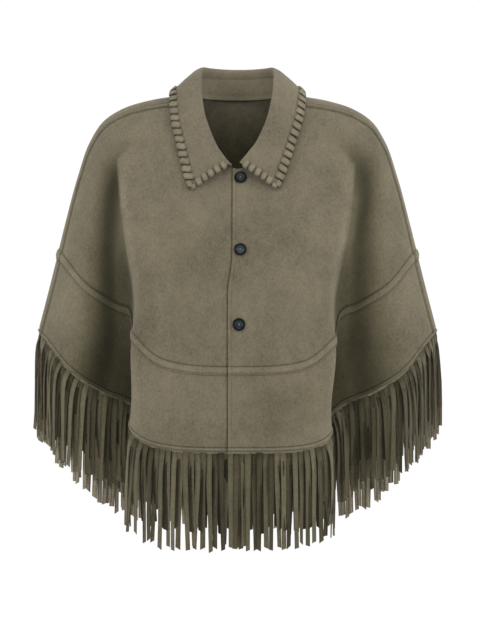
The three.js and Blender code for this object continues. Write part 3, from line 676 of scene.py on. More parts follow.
class Nodes:
    """Short calls for building a material's node tree."""

    def __init__(self, name):
        self.material = bpy.data.materials.new(name)
        self.material.use_nodes = True
        self.tree = self.material.node_tree
        self.shader = next(n for n in self.tree.nodes if n.type == "BSDF_PRINCIPLED")

    def add(self, kind, **settings):
        node = self.tree.nodes.new(kind)
        for key, value in settings.items():
            setattr(node, key, value)
        return node

    def link(self, source, target):
        self.tree.links.new(source, target)

    def coordinates(self, output, scale):
        place = self.add("ShaderNodeTexCoord")
        mapping = self.add("ShaderNodeMapping")
        mapping.inputs["Scale"].default_value = scale
        self.link(place.outputs[output], mapping.inputs["Vector"])
        return mapping.outputs["Vector"]

    def noise(self, vector, scale, detail, roughness):
        node = self.add("ShaderNodeTexNoise")
        node.inputs["Scale"].default_value = scale
        node.inputs["Detail"].default_value = detail
        node.inputs["Roughness"].default_value = roughness
        self.link(vector, node.inputs["Vector"])
        return node.outputs["Fac"]

    def ranged(self, value, low, high, to_low, to_high):
        node = self.add("ShaderNodeMapRange")
        for key, number in zip(("From Min", "From Max", "To Min", "To Max"), (low, high, to_low, to_high)):
            node.inputs[key].default_value = number
        self.link(value, node.inputs["Value"])
        return node.outputs["Result"]

    def math(self, operation, a, b):
        node = self.add("ShaderNodeMath", operation=operation)
        self.link(a, node.inputs[0])
        if isinstance(b, (int, float)):
            node.inputs[1].default_value = b
        else:
            self.link(b, node.inputs[1])
        return node.outputs["Value"]

    def darkened(self, colour, amount, blue_amount):
        """A colour times one amount in red and green and another in blue."""
        amounts = self.add("ShaderNodeCombineXYZ")
        for part, source in zip("XYZ", (amount, amount, blue_amount)):
            self.link(source, amounts.inputs[part])
        node = self.add("ShaderNodeVectorMath", operation="MULTIPLY")
        self.link(colour, node.inputs[0])
        self.link(amounts.outputs["Vector"], node.inputs[1])
        return node.outputs["Vector"]

    def ramp(self, value, stops):
        node = self.add("ShaderNodeValToRGB")
        elements = node.color_ramp.elements
        while len(elements) < len(stops):
            elements.new(0.5)
        for element, (place, colour) in zip(elements, stops):
            element.position = place
            element.color = (*colour, 1)
        self.link(value, node.inputs["Fac"])
        return node.outputs["Color"]

    def bump(self, height, strength, distance):
        node = self.add("ShaderNodeBump")
        node.inputs["Strength"].default_value = strength
        node.inputs["Distance"].default_value = distance
        self.link(height, node.inputs["Height"])
        return node.outputs["Normal"]


def suede(name, colour, settings, streaks=True, worn=0.0):
    """Napped suede: broad patches where the nap lies over, a mottle, a speckle, fine streaks down the cloth
    and a short-haired grain, in colour, roughness and bump, with a soft sheen."""
    n = Nodes(name)
    place = n.coordinates("Object", (1, 1, 0.75))
    patches = n.noise(place, 13, 2.5, 0.5)
    mottle = n.noise(place, 62, 3.0, 0.6)
    grain = n.noise(place, 640, 2.5, 0.7)
    speckle = n.noise(place, 290, 2.0, 0.6)
    tone = n.ranged(patches, 0.25, 0.75, -0.24, 0.24)
    tone = n.math("ADD", tone, n.ranged(mottle, 0.2, 0.8, -0.15, 0.15))
    tone = n.math("ADD", tone, n.ranged(speckle, 0.25, 0.75, -0.2, 0.2))
    tone = n.math("ADD", tone, n.ranged(grain, 0.25, 0.75, -0.22, 0.22))
    if streaks:
        down = n.coordinates("UV", (1, 0.3, 1))
        streak = n.noise(down, 700, 2.0, 0.6)
        tone = n.math("ADD", tone, n.ranged(streak, 0.25, 0.75, -0.1, 0.1))
    tone = n.math("ADD", tone, 0.5 + worn)
    base = np.array(colour)
    shades = [(0.0, 0.56), (0.5, 1.0), (1.0, 1.4)]
    colours = n.ramp(tone, [(place, tuple(base * shade)) for place, shade in shades])
    # Painted shade and painted light: each point's value makes the colour darker and less blue where shaded,
    # and paler where lit
    laid = n.add("ShaderNodeAttribute", attribute_name="nap_laid").outputs["Fac"]
    darker = n.ranged(laid, -1, 1.3, 1 + settings.painted_shade_strength, 1 - 1.3 * settings.painted_shade_strength)
    blue = n.math("MULTIPLY", darker, n.ranged(laid, 0, 1.2, 1, 0.74))
    n.link(n.darkened(colours, darker, blue), n.shader.inputs["Base Color"])
    n.link(n.ranged(tone, 0.1, 0.9, 0.96, 0.86), n.shader.inputs["Roughness"])
    height = n.math("ADD", n.math("MULTIPLY", grain, 0.75), n.math("MULTIPLY", mottle, 0.6))
    n.link(n.bump(height, settings.grain_bump, 0.0012), n.shader.inputs["Normal"])
    n.shader.inputs["Specular IOR Level"].default_value = 0.22
    n.shader.inputs["Sheen Weight"].default_value = settings.sheen
    n.shader.inputs["Sheen Roughness"].default_value = 0.55
    n.shader.inputs["Sheen Tint"].default_value = (0.86, 0.8, 0.66, 1)
    return n.material


def thread_material(name, colour):
    """Twisted sewing thread: fine bands round it in colour and bump."""
    n = Nodes(name)
    place = n.coordinates("Object", (1, 1, 1))
    twist = n.noise(place, 1500, 1.0, 0.5)
    base = np.array(colour)
    colours = n.ramp(twist, [(0.3, tuple(base * 0.75)), (0.7, tuple(base * 1.2))])
    n.link(colours, n.shader.inputs["Base Color"])
    n.link(n.bump(twist, 0.3, 0.0003), n.shader.inputs["Normal"])
    n.shader.inputs["Roughness"].default_value = 0.7
    n.shader.inputs["Sheen Weight"].default_value = 0.2
    return n.material


def resin(name, colour):
    """Dark horn-look resin: clouded veins under a satin gloss, with fine wear in its roughness."""
    n = Nodes(name)
    place = n.coordinates("Object", (1, 1, 2.2))
    clouds = n.noise(place, 190, 4.0, 0.6)
    wear = n.noise(place, 900, 2.0, 0.5)
    base = np.array(colour)
    stops = [(0.3, tuple(base * 0.5)), (0.52, tuple(base)), (0.7, tuple(base * 1.8 + 0.003))]
    # Painted shade on the rim and in the holes, and painted light in the dished face, from each point's
    # values
    laid = n.add("ShaderNodeAttribute", attribute_name="nap_laid").outputs["Fac"]
    amount = n.ranged(laid, -1, 1, 5.5, 0.4)
    n.link(n.darkened(n.ramp(clouds, stops), amount, amount), n.shader.inputs["Base Color"])
    n.link(n.ranged(wear, 0.3, 0.7, 0.2, 0.36), n.shader.inputs["Roughness"])
    n.link(n.bump(wear, 0.08, 0.0002), n.shader.inputs["Normal"])
    n.shader.inputs["Specular IOR Level"].default_value = 0.16
    return n.material


MATERIALS = {}


def material(name, maker, *arguments):
    """One material for all the pieces that share a finish."""
    if name not in MATERIALS:
        MATERIALS[name] = maker(name, *arguments)
    return MATERIALS[name]


PANELS = {}


def panels(settings):
    """The four quarters of the cape by name, worked out once."""
    if not PANELS:
        spacing = settings.spacing * MM
        PANELS["front_right"] = front_right_panels(spacing)
        PANELS["front_left"] = front_left_panels(spacing)
        PANELS["back_right"] = back_panels(-1, spacing)
        PANELS["back_left"] = back_panels(1, spacing)
    return PANELS


def make_panels(part, settings):
    """Fine shells over the four solids of one part of the cape, the upper cloth or the band."""
    cloth = material("suede_panels", suede, settings.cloth_colour, settings)
    for quarter, grids in panels(settings).items():
        grid = grids[part]
        node = f"{quarter}_{part}"
        shape = shell(on_grid(grid, grid["high"]), on_grid(grid, grid["low"]))
        share = grid["share"]
        # Painted shade on the inner face: darker further down from the neck, with a dark painted line just
        # below it
        inside = 1.05 * ease(share / 0.24) - 0.1 + 1.2 * (1 - ease((share - 0.006) / 0.012))
        laid = np.concatenate([grid["laid"].ravel(), inside.ravel()])
        piece = new_piece(f"{node}_cloth", shape, cloth, [node], cloth_uv(grid), laid)


def stitch_line(points, normals, settings):
    """Thread along a line of places: even stitches, each a rod of four sides and five rings, thin at
    its ends, which dive into the cloth."""
    run = lengths(points[None], 1)[0]
    pitch = settings.stitch_pitch * MM
    count = int(run[-1] / pitch)
    starts = (np.arange(count) + 0.5) * run[-1] / count
    shares = np.array([-0.5, -0.36, 0, 0.36, 0.5])
    at = starts[:, None] + shares * settings.stitch_length * MM
    centre = np.stack([np.interp(at, run, points[:, k]) for k in range(3)], -1)
    normal = unit(np.stack([np.interp(at, run, normals[:, k]) for k in range(3)], -1))
    along = unit(np.gradient(centre, axis=1))
    side = np.cross(normal, along)
    dive = np.array([-0.55, 0.0, 0.16, 0.0, -0.55])
    centre = centre + normal * dive[:, None]
    radius = np.array([0.12, 0.28, 0.32, 0.28, 0.12])[:, None, None]
    turns = circle(4, 45)
    ring_points = side[:, :, None] * np.cos(turns)[:, None] + normal[:, :, None] * np.sin(turns)[:, None]
    return centre[:, :, None] + ring_points * radius


def line_down(grid, distance, from_last, start):
    """A line down a panel from a row on, at a distance in millimetres from its first or last column."""
    run = grid["round"]
    run = run[-1:] - run if from_last else run
    rows = np.arange(start, run.shape[1])
    column = np.abs(run - distance).argmin(axis=0)[start:]
    high = on_grid(grid, grid["high"])
    return high[column, rows], grid["normal"][column, rows]


def line_round(grid, row):
    """A line round a panel along one of its rows."""
    return on_grid(grid, grid["high"])[:, row], grid["normal"][:, row]


def nearest_row(grid, s):
    return int(np.argmin(np.abs(grid["s"][0] - s)))


def stitch_lines(settings):
    """Every topstitched line of the panels, as places and normals. Those that run round the right front
    end where the left one covers it."""
    lines = []
    for quarter, grids in panels(settings).items():
        upper, band = grids["upper"], grids["band"]
        end = -COVERED_COLUMNS if quarter == "front_right" else None
        for grid, s in ((upper, SEAM_STITCHES[0]), (upper, SEAM_STITCHES[1]), (band, HEM_STITCH)):
            points, normals = line_round(grid, nearest_row(grid, s))
            lines.append((points[:end], normals[:end]))
        for grid, start in ((upper, FIRST_STITCHED_ROW), (band, nearest_row(band, BAND_STITCHES_FROM))):
            if quarter.startswith("back"):
                from_last = quarter == "back_right"
                for distance in SIDE_STITCHES:
                    lines.append(line_down(grid, distance, from_last, start))
                lines.append(line_down(grid, CENTRE_STITCH, not from_last, start))
            if quarter == "front_left":
                lines.append(line_down(grid, EDGE_STITCH, False, start))
    return lines


def collar_value(name, u):
    """A collar table's value from the wearer's left front, u 0, round the back to the right front, u 2."""
    values = COLLAR[name]
    other = values[-2::-1]
    if name == "roll_x":
        other = -other
    if name in ("neck", "edge_angle"):
        other = 360 - other
    both = np.concatenate([values, other])
    return curve_through(np.arange(len(both)) / (len(values) - 1), both, u)


def hang(u):
    """How far the two fronts of the leaf hang off their even place, fading round to the shoulders."""
    left_front, right_front = 1 - ease(u / HANG_FADE), 1 - ease((2 - u) / HANG_FADE)
    return left_front[..., None] * LEFT_HANG + right_front[..., None] * RIGHT_HANG


def collar_edge(u):
    angle, s = collar_value("edge_angle", u), collar_value("edge_s", u)
    return form(angle, s) + outward(angle, s) * collar_value("edge_lift", u)[..., None] + hang(u)


def even_collar(count):
    """Places of u at even lengths along the collar's outer edge."""
    fine = np.linspace(0, 2, 401)
    run = lengths(collar_edge(fine)[None], 1)[0]
    return np.interp(np.linspace(0, run[-1], count + 1), run, fine)


def collar_sections(u):
    """Lines of the collar at each u: the stand rises straight from the neck edge, and the leaf turns over
    the roll line in a small radius and falls in a slight bulge to its edge over the cape."""
    neck = form(collar_value("neck", u), 0 * u)
    inward = unit(-neck * [1, 1, 0])
    base = neck + inward * (NECK_GAP + CLOTH / 2)
    foot = base + DOWN * 3
    rise = base + UP * 4
    roll = np.stack([collar_value(name, u) for name in ("roll_x", "roll_y", "roll_z")], -1) + hang(u) * 0.8
    edge = collar_edge(u)
    seam = mix(rise, roll, collar_value("stand", u)[:, None])
    stand_top = seam - unit(roll - seam) * GAP
    from_edge = unit(roll - edge)
    top = unit(unit(roll - rise) + from_edge)
    over = -from_edge
    over = unit(over - top * dot(over, top))
    inside = roll - top * ROLL_RADIUS - over * ROLL_RADIUS
    outside = roll - top * ROLL_RADIUS + over * ROLL_RADIUS
    bulge = outward(collar_value("edge_angle", u), collar_value("edge_s", u))
    falls = [mix(outside, edge, share) + bulge * height for share, height in ((0.4, 2.5), (0.76, 1.25))]
    stand = np.stack([foot, base, rise, stand_top], 0)
    leaf = np.stack([seam, inside, roll, outside, *falls, edge], 0)
    return stand, leaf


def sheet_grid(lines, rows):
    """Refines lines of points into a smooth grid, columns by rows, with normals from its own steps."""
    run = lengths(lines, 0).mean(axis=1)
    places = np.interp(rows, [0, 1], [0, run[-1]])
    points = np.swapaxes(curve_through(run, lines, places), 0, 1)
    along = np.gradient(points, axis=0)
    down = np.gradient(points, axis=1)
    return {"point": points, "normal": unit(np.cross(down, along)), "marks": run / run[-1], "rows": rows}


COLLAR_GRIDS = {}


def collar_grids():
    """The stand's and the leaf's grids, with a slight unevenness of hand-sewn cloth on the leaf, and painted
    shade on the leaf between the lace's straps.
    """
    if not COLLAR_GRIDS:
        u = even_collar(STITCHES_ROUND_COLLAR * COLUMNS_A_STITCH)
        stand, leaf = collar_sections(u)
        COLLAR_GRIDS["stand"] = sheet_grid(stand, np.linspace(0, 1, 24))
        close = 1 - np.linspace(1, 0, 46) ** 1.15
        grid = sheet_grid(leaf, close)
        column = np.arange(len(u))[:, None] / COLUMNS_A_STITCH
        fall = ease((close - 0.35) / 0.3)[None]
        wave = 0.45 * np.sin(column * 0.55 + 1.3) * fall + 0.3 * np.sin(column * 0.23 + close * 5)
        pulled = -0.35 * np.cos(column * 2 * np.pi) * ease((close - 0.9) / 0.1)[None]
        grid["point"] = grid["point"] + grid["normal"] * (wave + pulled)[..., None]
        from_edge = lengths(grid["point"], 1)
        from_edge = from_edge[:, -1:] - from_edge
        # Painted shade on the leaf between the straps of the lace near its edge, and along the line of their
        # holes
        between = 0.5 + 0.5 * np.cos(column * 2 * np.pi)
        grid["laid"] = between**2 * ease((12.4 - from_edge) / 3) + 0.3 * bell((from_edge - 11.8) / 1.3)
        COLLAR_GRIDS["leaf"] = grid
    return COLLAR_GRIDS


def make_collar(settings):
    """Stand and leaf as fine shells with rounded edges, and the stand's two stitched lines."""
    cloth = material("suede_collar", suede, settings.collar_colour, settings, False, 0.04)
    grids = collar_grids()
    stand, leaf = grids["stand"], grids["leaf"]
    rows = np.broadcast_to(stand["rows"], stand["point"].shape[:2])
    tall = lengths(stand["point"], 1)
    line = groove(tall - STAND_STITCH, 0.4, 0.9)
    line = line + groove(tall[:, -1:] - tall - STAND_TOP_STITCH, 0.3, 0.9)
    half = CLOTH / 2 + 0 * rows
    flare = 1.8 * (1 - ease(tall / 7))
    shape = shell(on_grid(stand, half + line + flare), on_grid(stand, flare - half))
    piece = new_piece("collar_stand_cloth", shape, cloth, ["collar_stand"])
    tall = lengths(leaf["point"], 1)
    edge = np.minimum(tall[:, -1:] - tall, tall)
    round_edge = np.clip(1 - edge / 1.4, 0, 1) ** 2 * 0.6
    half = COLLAR_CLOTH / 2 - round_edge
    shape = shell(on_grid(leaf, half), on_grid(leaf, -half))
    laid = np.concatenate([leaf["laid"].ravel(), leaf["laid"].ravel()])
    piece = new_piece("collar_leaf_cloth", shape, cloth, ["collar_leaf"], shade=laid)


def lace_places():
    """Places of the whipstitches on the leaf's grid: column, row, and 0 on the outer edge, 1 on the left
    front edge or -1 on the right one."""
    leaf = collar_grids()["leaf"]
    last, bottom = leaf["point"].shape[0] - 1, leaf["point"].shape[1] - 1
    outer = (np.arange(STITCHES_ROUND_COLLAR) + 0.5) * COLUMNS_A_STITCH
    places = [(c, bottom, 0) for c in outer]
    roll = leaf["marks"][3]
    for k in range(STITCHES_ON_FRONT_EDGE):
        share = mix(roll, 1, (k + 0.5) / STITCHES_ON_FRONT_EDGE)
        row = np.interp(share, leaf["rows"], np.arange(bottom + 1))
        places += [(0, row, 1), (last, row, -1)]
    return np.array(places, float)


# A whipstitch from its hole in the outer face, over the edge, to its hole in the inner face: how far in
# from the edge, as a share of its reach; height over the middle of the cloth; width; and its painted shade.
LACE_INWARDS = np.array([1.0, 0.93, 0.78, 0.5, 0.14, -0.1, -0.2, -0.2, -0.1, 0.16, 0.6, 0.9, 1.0])
LACE_HEIGHTS = np.array([0.2, 2.4, 3.2, 3.5, 3.2, 2.4, 0.9, -0.8, -2.1, -2.5, -2.4, -1.8, -0.1])
LACE_NARROWS = np.array([0.8, 0.95, 1, 1, 1, 0.97, 0.95, 0.95, 0.97, 1, 0.95, 0.8, 0.6])
LACE_PAINTED_SHADE = np.array([1, 0.45, 0, -0.1, -0.1, 0, 0.2, 0.3, 0.3, 0.2, 0.3, 0.5, 1])
LACE_OUTSIDE = np.arange(13) < 7
LACE_TOP = 3
LACE_REACH_OUT, LACE_REACH_IN, LACE_REACH_BEYOND = 11.2, 8, 12
LACE_TIP_SHARE = 0.62
LACE_FRONT_STEP = 2.2


def lace_paths(places, most_slant, uneven):
    """Centre line of each whipstitch, with the leaf's normals along it and the direction in from the edge.
    A stitch near a tip reaches in by a share of its distance from it."""
    leaf = collar_grids()["leaf"]
    points = leaf["point"]
    last, bottom = points.shape[0] - 1, points.shape[1] - 1
    row_numbers = np.arange(bottom + 1)
    column, row, side = places.T
    on_front = (side != 0)[:, None]
    edge = sample(points, column, row)
    from_tip = np.min(np.linalg.norm(edge[:, None] - points[[0, -1], -1], axis=-1), axis=1)
    reach_out = np.minimum(LACE_REACH_OUT, LACE_TIP_SHARE * from_tip)[:, None]
    reach_in = np.minimum(LACE_REACH_IN, LACE_TIP_SHARE * from_tip)[:, None]
    depth = np.where(LACE_OUTSIDE, LACE_INWARDS * reach_out, LACE_INWARDS * reach_in)
    depth = np.where(LACE_INWARDS < 0, LACE_INWARDS * LACE_REACH_BEYOND, depth)
    inside, beyond = np.clip(depth, 0, None), np.clip(depth, None, 0)
    turned = (most_slant * mix(0.6, 1.5, column / last) + 0.7 * uneven[0])[:, None]
    slant = np.where(LACE_OUTSIDE, mix(-1, 1, np.clip(depth / reach_out, 0, 1)), -1) * turned

    after = sample(points, np.clip(column + 2, 0, last), row)
    before = sample(points, np.clip(column - 2, 0, last), row)
    rim = unit(after - before)
    lean = dot(rim, unit(sample(points, column, row - 6) - edge))
    straight = np.sqrt(1 - lean**2)
    downs = lengths(points, 1)[column.astype(int)]
    run = [np.interp(r, row_numbers, down) for r, down in zip(row, downs)]
    depth_row = np.stack([
        np.interp(down[-1] - d, down, row_numbers) for d, down in zip(inside / straight, downs)
    ])
    front_row = np.stack([
        np.interp(r - b, down, row_numbers) for r, b, down in zip(run, slant * 0.2, downs)
    ])
    step_column = np.linalg.norm(points[1:, bottom] - points[:-1, bottom], axis=-1).mean()
    moved_column = column[:, None] + (slant - inside * lean / straight) / step_column
    front_column = np.where(side > 0, 0, last)[:, None] + np.sign(side)[:, None] * inside / LACE_FRONT_STEP
    at_column = np.clip(np.where(on_front, front_column, moved_column), 0, last)
    at_row = np.clip(np.where(on_front, front_row, depth_row), 0, bottom)
    normal = unit(sample(leaf["normal"], at_column, at_row))

    into_column = np.where(on_front[:, 0], column + np.sign(side) * 2, column)
    into_row = np.where(on_front[:, 0], row, row - 2)
    inward = unit(sample(points, into_column, into_row) - edge)
    inward = unit(np.where(on_front, inward, inward - rim * dot(inward, rim)))
    heights = LACE_HEIGHTS * (1 + 0.14 * uneven[1][:, None])
    centre = sample(points, at_column, at_row) + inward[:, None] * beyond[..., None]
    return centre + normal * heights[..., None], normal, inward


def make_lace(settings):
    """Whipstitched lace: flat straps, each out of a hole in the collar's face, slanting over its edge and
    back into the inner face. A strap is a rounded flat section carried along that path."""
    places = lace_places()
    uneven = np.random.default_rng(LACE_SEED).uniform(-1, 1, (4, len(places)))
    centre, normal, inward = lace_paths(places, settings.lace_slant * MM, uneven)
    tangent = unit(np.gradient(centre, axis=1))
    along = unit(np.cross(normal[:, LACE_TOP], inward))[:, None]
    width_axis = unit(along - tangent * dot(np.broadcast_to(along, tangent.shape), tangent))
    thick_axis = np.cross(tangent, width_axis)
    turns = circle(8, 22.5)
    width = (np.where(places[:, 2] == 0, 1, 0.92) + 0.08 * uneven[2])[:, None, None]
    half = settings.lace_width * MM / 2 * width
    x = np.sign(np.cos(turns)) * np.abs(np.cos(turns)) ** 0.85 * half * LACE_NARROWS[:, None]
    y = np.sin(turns) * settings.lace_thickness * MM / 2 * (1 + 0 * x)
    rings = centre[:, :, None] + width_axis[:, :, None] * x[..., None]
    rings = rings + thick_axis[:, :, None] * y[..., None]
    # Painted shade on each strap: darkest at its holes and along its two edges, with a random tone per stitch
    laid = LACE_PAINTED_SHADE[:, None] + 0.7 * np.abs(np.cos(turns)) ** 3 - 0.2
    laid = (laid + 0.15 * uneven[3][:, None, None]).ravel()
    cloth = material("suede_lace", suede, settings.lace_colour, settings, False, 0.02)
    new_piece("collar_lacing", tubes(rings), cloth, ["collar_lace"], shade=laid, sharp=75)


def hem_places(grid, pitch, offset):
    """Even places along a band's hem: how far along it each lies, with its angle, level and pitch."""
    run = grid["round"][:, -1]
    count = int(run[-1] / pitch)
    at = (np.arange(count - (offset > 0)) + 0.5 + offset) * run[-1] / count
    angle, level = (np.interp(at, run, grid[name][:, -1]) for name in ("angle", "low"))
    return at, angle, level, run[-1] / count


def hem_strip(grid):
    """The strip sewn behind a band, from which its strands are cut: a shell below the band's inner face."""
    rows = np.array([nearest_row(grid, s) for s in STRIP_ROWS])
    point, normal = grid["point"][:, rows], grid["normal"][:, rows]
    foot = unit(point[:, -1:] - point[:, :1]) * 4
    under = grid["low"][:, rows] - STRIP_GAP
    faces = (point + normal * height[..., None] for height in (under, under - CLOTH))
    return shell(*(np.concatenate([face, face[:, -1:] + foot], 1) for face in faces))


def strands(grid, settings, random, behind):
    """One row of strands: each a ribbon that leaves the hem at right angles, bends down under its weight
    by an exponential, sways and turns, bunches with its neighbours, and ends in a slanted cut. Rings of
    eight points are carried along each centre line. Also gives each point's painted shade and painted light,
    with a random tone per strand."""
    at, angle, level, pitch = hem_places(grid, settings.strand_pitch * MM, 0.5 if behind else 0)
    count = len(at)
    share = lowered(angle, 1.0)
    hem, out = form(angle, share), outward(angle, share)
    hem = hem + out * creases(angle, share)[:, None]
    after, before = (form(angle + turn, lowered(angle + turn, 1.0)) for turn in (0.5, -0.5))
    along = unit(after - before)
    leave = np.cross(along, out)
    leave = unit(leave * np.where(leave[:, 2:] > 0, -1, 1))
    sunk = STRIP_GAP + CLOTH / 2 + (3.2 if behind else 0)
    root = hem + out * (level - sunk)[:, None] + leave * 2.5

    (
        longer, wider, stiffer, turned_by, aside, side_wave,
        forward, depth_wave, twisted_by, cupped, bunched, darker_by,
    ) = random.uniform(-1, 1, (12, count))
    bunch = np.sin(at / pitch * 2.1 + 2.2 * bunched) * 0.7 + np.sin(at / pitch * 0.83 + 1.1) * 0.5
    inner = bell((np.abs(angle) - 50) / 9)
    length = (settings.fringe_length + longer * settings.fringe_uneven) * MM
    length = length - 18 * inner - (28 if behind else 0)
    width = settings.strand_width * MM * (1 + 0.12 * wider)
    steps = np.array([0, 0.035, 0.08, 0.14, 0.22, 0.34, 0.52, 0.74, 0.97, 1.0])
    t = length[:, None] * steps
    bend = 17 + 3 * stiffer[:, None]
    bent = bend * (1 - np.exp(-t / bend))
    level_axis = unit(along * [1, 1, 0])
    face = np.cross(level_axis, UP)
    room = pitch * np.linalg.norm(along * [1, 1, 0], axis=-1) - 0.8
    turn = np.arccos(np.clip(room / width, 0.45, 1)) * 0.5 + np.radians(16) * np.abs(turned_by)
    sway = settings.strand_sway * MM
    grown = steps[None] ** 1.4
    side_sway = ((0.6 * aside + 0.85 * bunch) * sway)[:, None] * grown
    side_sway = side_sway + side_wave[:, None] * np.sin(steps * 5.2)
    layer = np.where(np.arange(count) % 2, 1.2, -1.2)[:, None] * ease(t / 25)
    depth_sway = (forward * sway * 0.9)[:, None] * grown
    depth_sway = depth_sway + depth_wave[:, None] * np.sin(steps * 6.3 + 1) * 1.6 + layer
    centre = root[:, None] + leave[:, None] * bent[..., None] + DOWN * (t - bent)[..., None]
    centre = centre + level_axis[:, None] * side_sway[..., None] + face[:, None] * depth_sway[..., None]

    twist = (turn * np.sign(hem[:, 0]))[:, None] * ease(t / 30)
    twist = twist + np.radians(26) * twisted_by[:, None] * steps**1.3
    flat_axis = mix(along[:, None], level_axis[:, None], ease(t / 25)[..., None])
    turned = unit(flat_axis) * np.cos(twist)[..., None]
    turned = turned + np.cross(UP, flat_axis) * np.sin(twist)[..., None]
    tangent = unit(np.gradient(centre, axis=1))
    width_axis = unit(turned - tangent * dot(turned, tangent))
    thick_axis = np.cross(width_axis, tangent)
    over_width = np.array([-1, -0.9, 0, 0.9, 1, 0.9, 0, -0.9])
    over = np.array([0, 1, 1, 1, 0, -1, -1, -1])
    half = (width[:, None] * (1 - 0.2 * ease(steps / 0.9)))[..., None] / 2
    cup = (0.7 + 0.4 * cupped)[:, None, None] * (1 - over_width**2) * ease(t / 20)[..., None]
    thick = CLOTH / 2 * over + cup
    ribbon = (
        centre[:, :, None]
        + width_axis[:, :, None] * (half * over_width)[..., None]
        + thick_axis[:, :, None] * thick[..., None]
    )
    ribbon[:, -1, :, 2] += (turned_by * 2.8)[:, None] * over_width
    # Painted shade at a strand's edges and over its back face, painted light down the middle of its front
    # face, a random tone per strand, more painted shade near the root and much more on the row behind
    laid = np.array([1.15, 0.2, -1.0, 0.2, 1.15, 0.9, 0.8, 0.9]) + 0.3 * darker_by[:, None]
    laid = np.broadcast_to(laid[:, None], ribbon.shape[:3]) + 0.2 * (1 - ease(t / 16))[..., None]
    laid = laid + 0.8 * behind
    return tubes(ribbon), np.clip(laid, -1, 1.25).ravel()


def make_fringe(settings):
    """A strip sewn behind each band, with an outer row of strands and a shorter one behind its gaps."""
    cloth = material("suede_fringe", suede, settings.fringe_colour, settings, False)
    random = np.random.default_rng(FRINGE_SEED)
    for quarter, grids in panels(settings).items():
        points, faces = hem_strip(grids["band"])
        # The strip behind the hem is given painted shade all over
        faces, laid = faces.tolist(), np.full(len(points), 0.4)
        for behind in (False, True):
            (more, sides), shade = strands(grids["band"], settings, random, behind)
            faces += [[i + len(points) for i in face] for face in sides]
            points, laid = np.concatenate([points, more]), np.concatenate([laid, shade])
        node = f"fringe_{quarter}"
        new_piece(f"{node}_strands", (points, faces), cloth, [node], shade=laid, sharp=60)


# A button's half section from the middle of its back to that of its face: share of the radius, height
BUTTON_PROFILE = np.array([
    [0.02, 0], [0.5, 0], [0.78, 0.25], [0.95, 1.0], [1.0, 1.9], [0.985, 2.7], [0.93, 3.2],
    [0.85, 3.35], [0.765, 3.15], [0.69, 2.62], [0.6, 2.38], [0.45, 2.3], [0.25, 2.26], [0.02, 2.25],
])
BACK_END, FACE_START = 1, 9


def button_rings():
    """A turned disc: a rounded back and rim, and a dished face with four holes pressed into it. Its ring
    heights follow a smooth curve over the profile, and each hole sinks what lies within its radius."""
    scaled = BUTTON_PROFILE * [BUTTON_RADIUS, 1]
    run = lengths(scaled[None], 1)[0]
    back = np.linspace(0, run[BACK_END], 3)[:-1]
    rim = np.linspace(run[BACK_END], run[FACE_START], 30)
    face = np.linspace(run[FACE_START], run[-1], 34)[1:]
    fine = np.concatenate([back, rim, face])
    curve = curve_through(run, scaled, fine)
    turns = circle(BUTTON_SIDES)
    x = curve[:, 0, None] * np.cos(turns)
    y = curve[:, 0, None] * np.sin(turns)
    z = np.broadcast_to(curve[:, 1, None], x.shape).copy()
    top = (fine > run[FACE_START])[:, None]
    for right, up in ((1, 1), (-1, 1), (-1, -1), (1, -1)):
        from_hole = np.hypot(x - right * HOLE_OFFSET, y - up * HOLE_OFFSET)
        z -= top * HOLE_DEPTH * ease((HOLE_RADIUS - from_hole) / 0.45)
    return np.stack([x, y, z], -1)


def button_frame(x, s):
    """Foot of a button on the cloth, with its axes across, down and out."""
    angle = float(across(x, np.array(s)))
    out = outward(angle, s)
    foot = form(angle, s) + out * (BUTTON_FOOT + creases(angle, s))
    along = unit(form(angle + 0.5, s) - form(angle - 0.5, s))
    return foot, np.stack([along, np.cross(out, along), out])


def button_thread():
    """Threads crossed over a button's face, three each way, the second set lifted over the first. Each is
    a rod that dives into a hole at either end."""
    shares = np.linspace(-1, 1, 9)
    height = 2.75 - 1.3 * np.abs(shares) ** 6
    turns = circle(6)
    rods = []
    for direction, lift in (((1, 1), 0), ((1, -1), 0.25)):
        along = np.array([*direction, 0]) / math.sqrt(2)
        side = np.array([-along[1], along[0], 0])
        ring_points = side * np.cos(turns)[:, None] * 0.24 + UP * np.sin(turns)[:, None] * 0.24
        for offset in (-0.36, 0, 0.36):
            centre = shares[:, None] * 2.5 * along + offset * side
            centre = centre + (height + lift * (1 - shares**2))[:, None] * UP
            rods.append(centre[:, None] + ring_points)
    return np.array(rods)


def make_buttons(settings):
    """Three four-hole buttons, and the crossed threads that sew each of them on."""
    dark = material("resin_button", resin, settings.button_colour)
    thread = material("button_thread", thread_material, settings.thread_colour)
    disc, rods = button_rings(), button_thread()
    from_centre = np.hypot(disc[..., 0], disc[..., 1]) / BUTTON_RADIUS
    # Painted shade on the rim and in the four holes, and painted light in the middle of the dished face
    shade = mix(-1, 1, ease((from_centre - 0.5) / 0.22)) + 2 * ease((1.9 - disc[..., 2]) / 0.5)
    shade = np.clip(shade, -1, 1).ravel()
    for i, (x, s) in enumerate(BUTTON_PLACES):
        foot, axes = button_frame(x, s)
        name = f"button_{i + 1}"
        shape = tubes((foot + disc @ axes)[None])
        new_piece(f"{name}_disc", shape, dark, [name], shade=shade, sharp=70)
        new_piece(f"{name}_thread", tubes(foot + rods @ axes), thread, sharp=80)


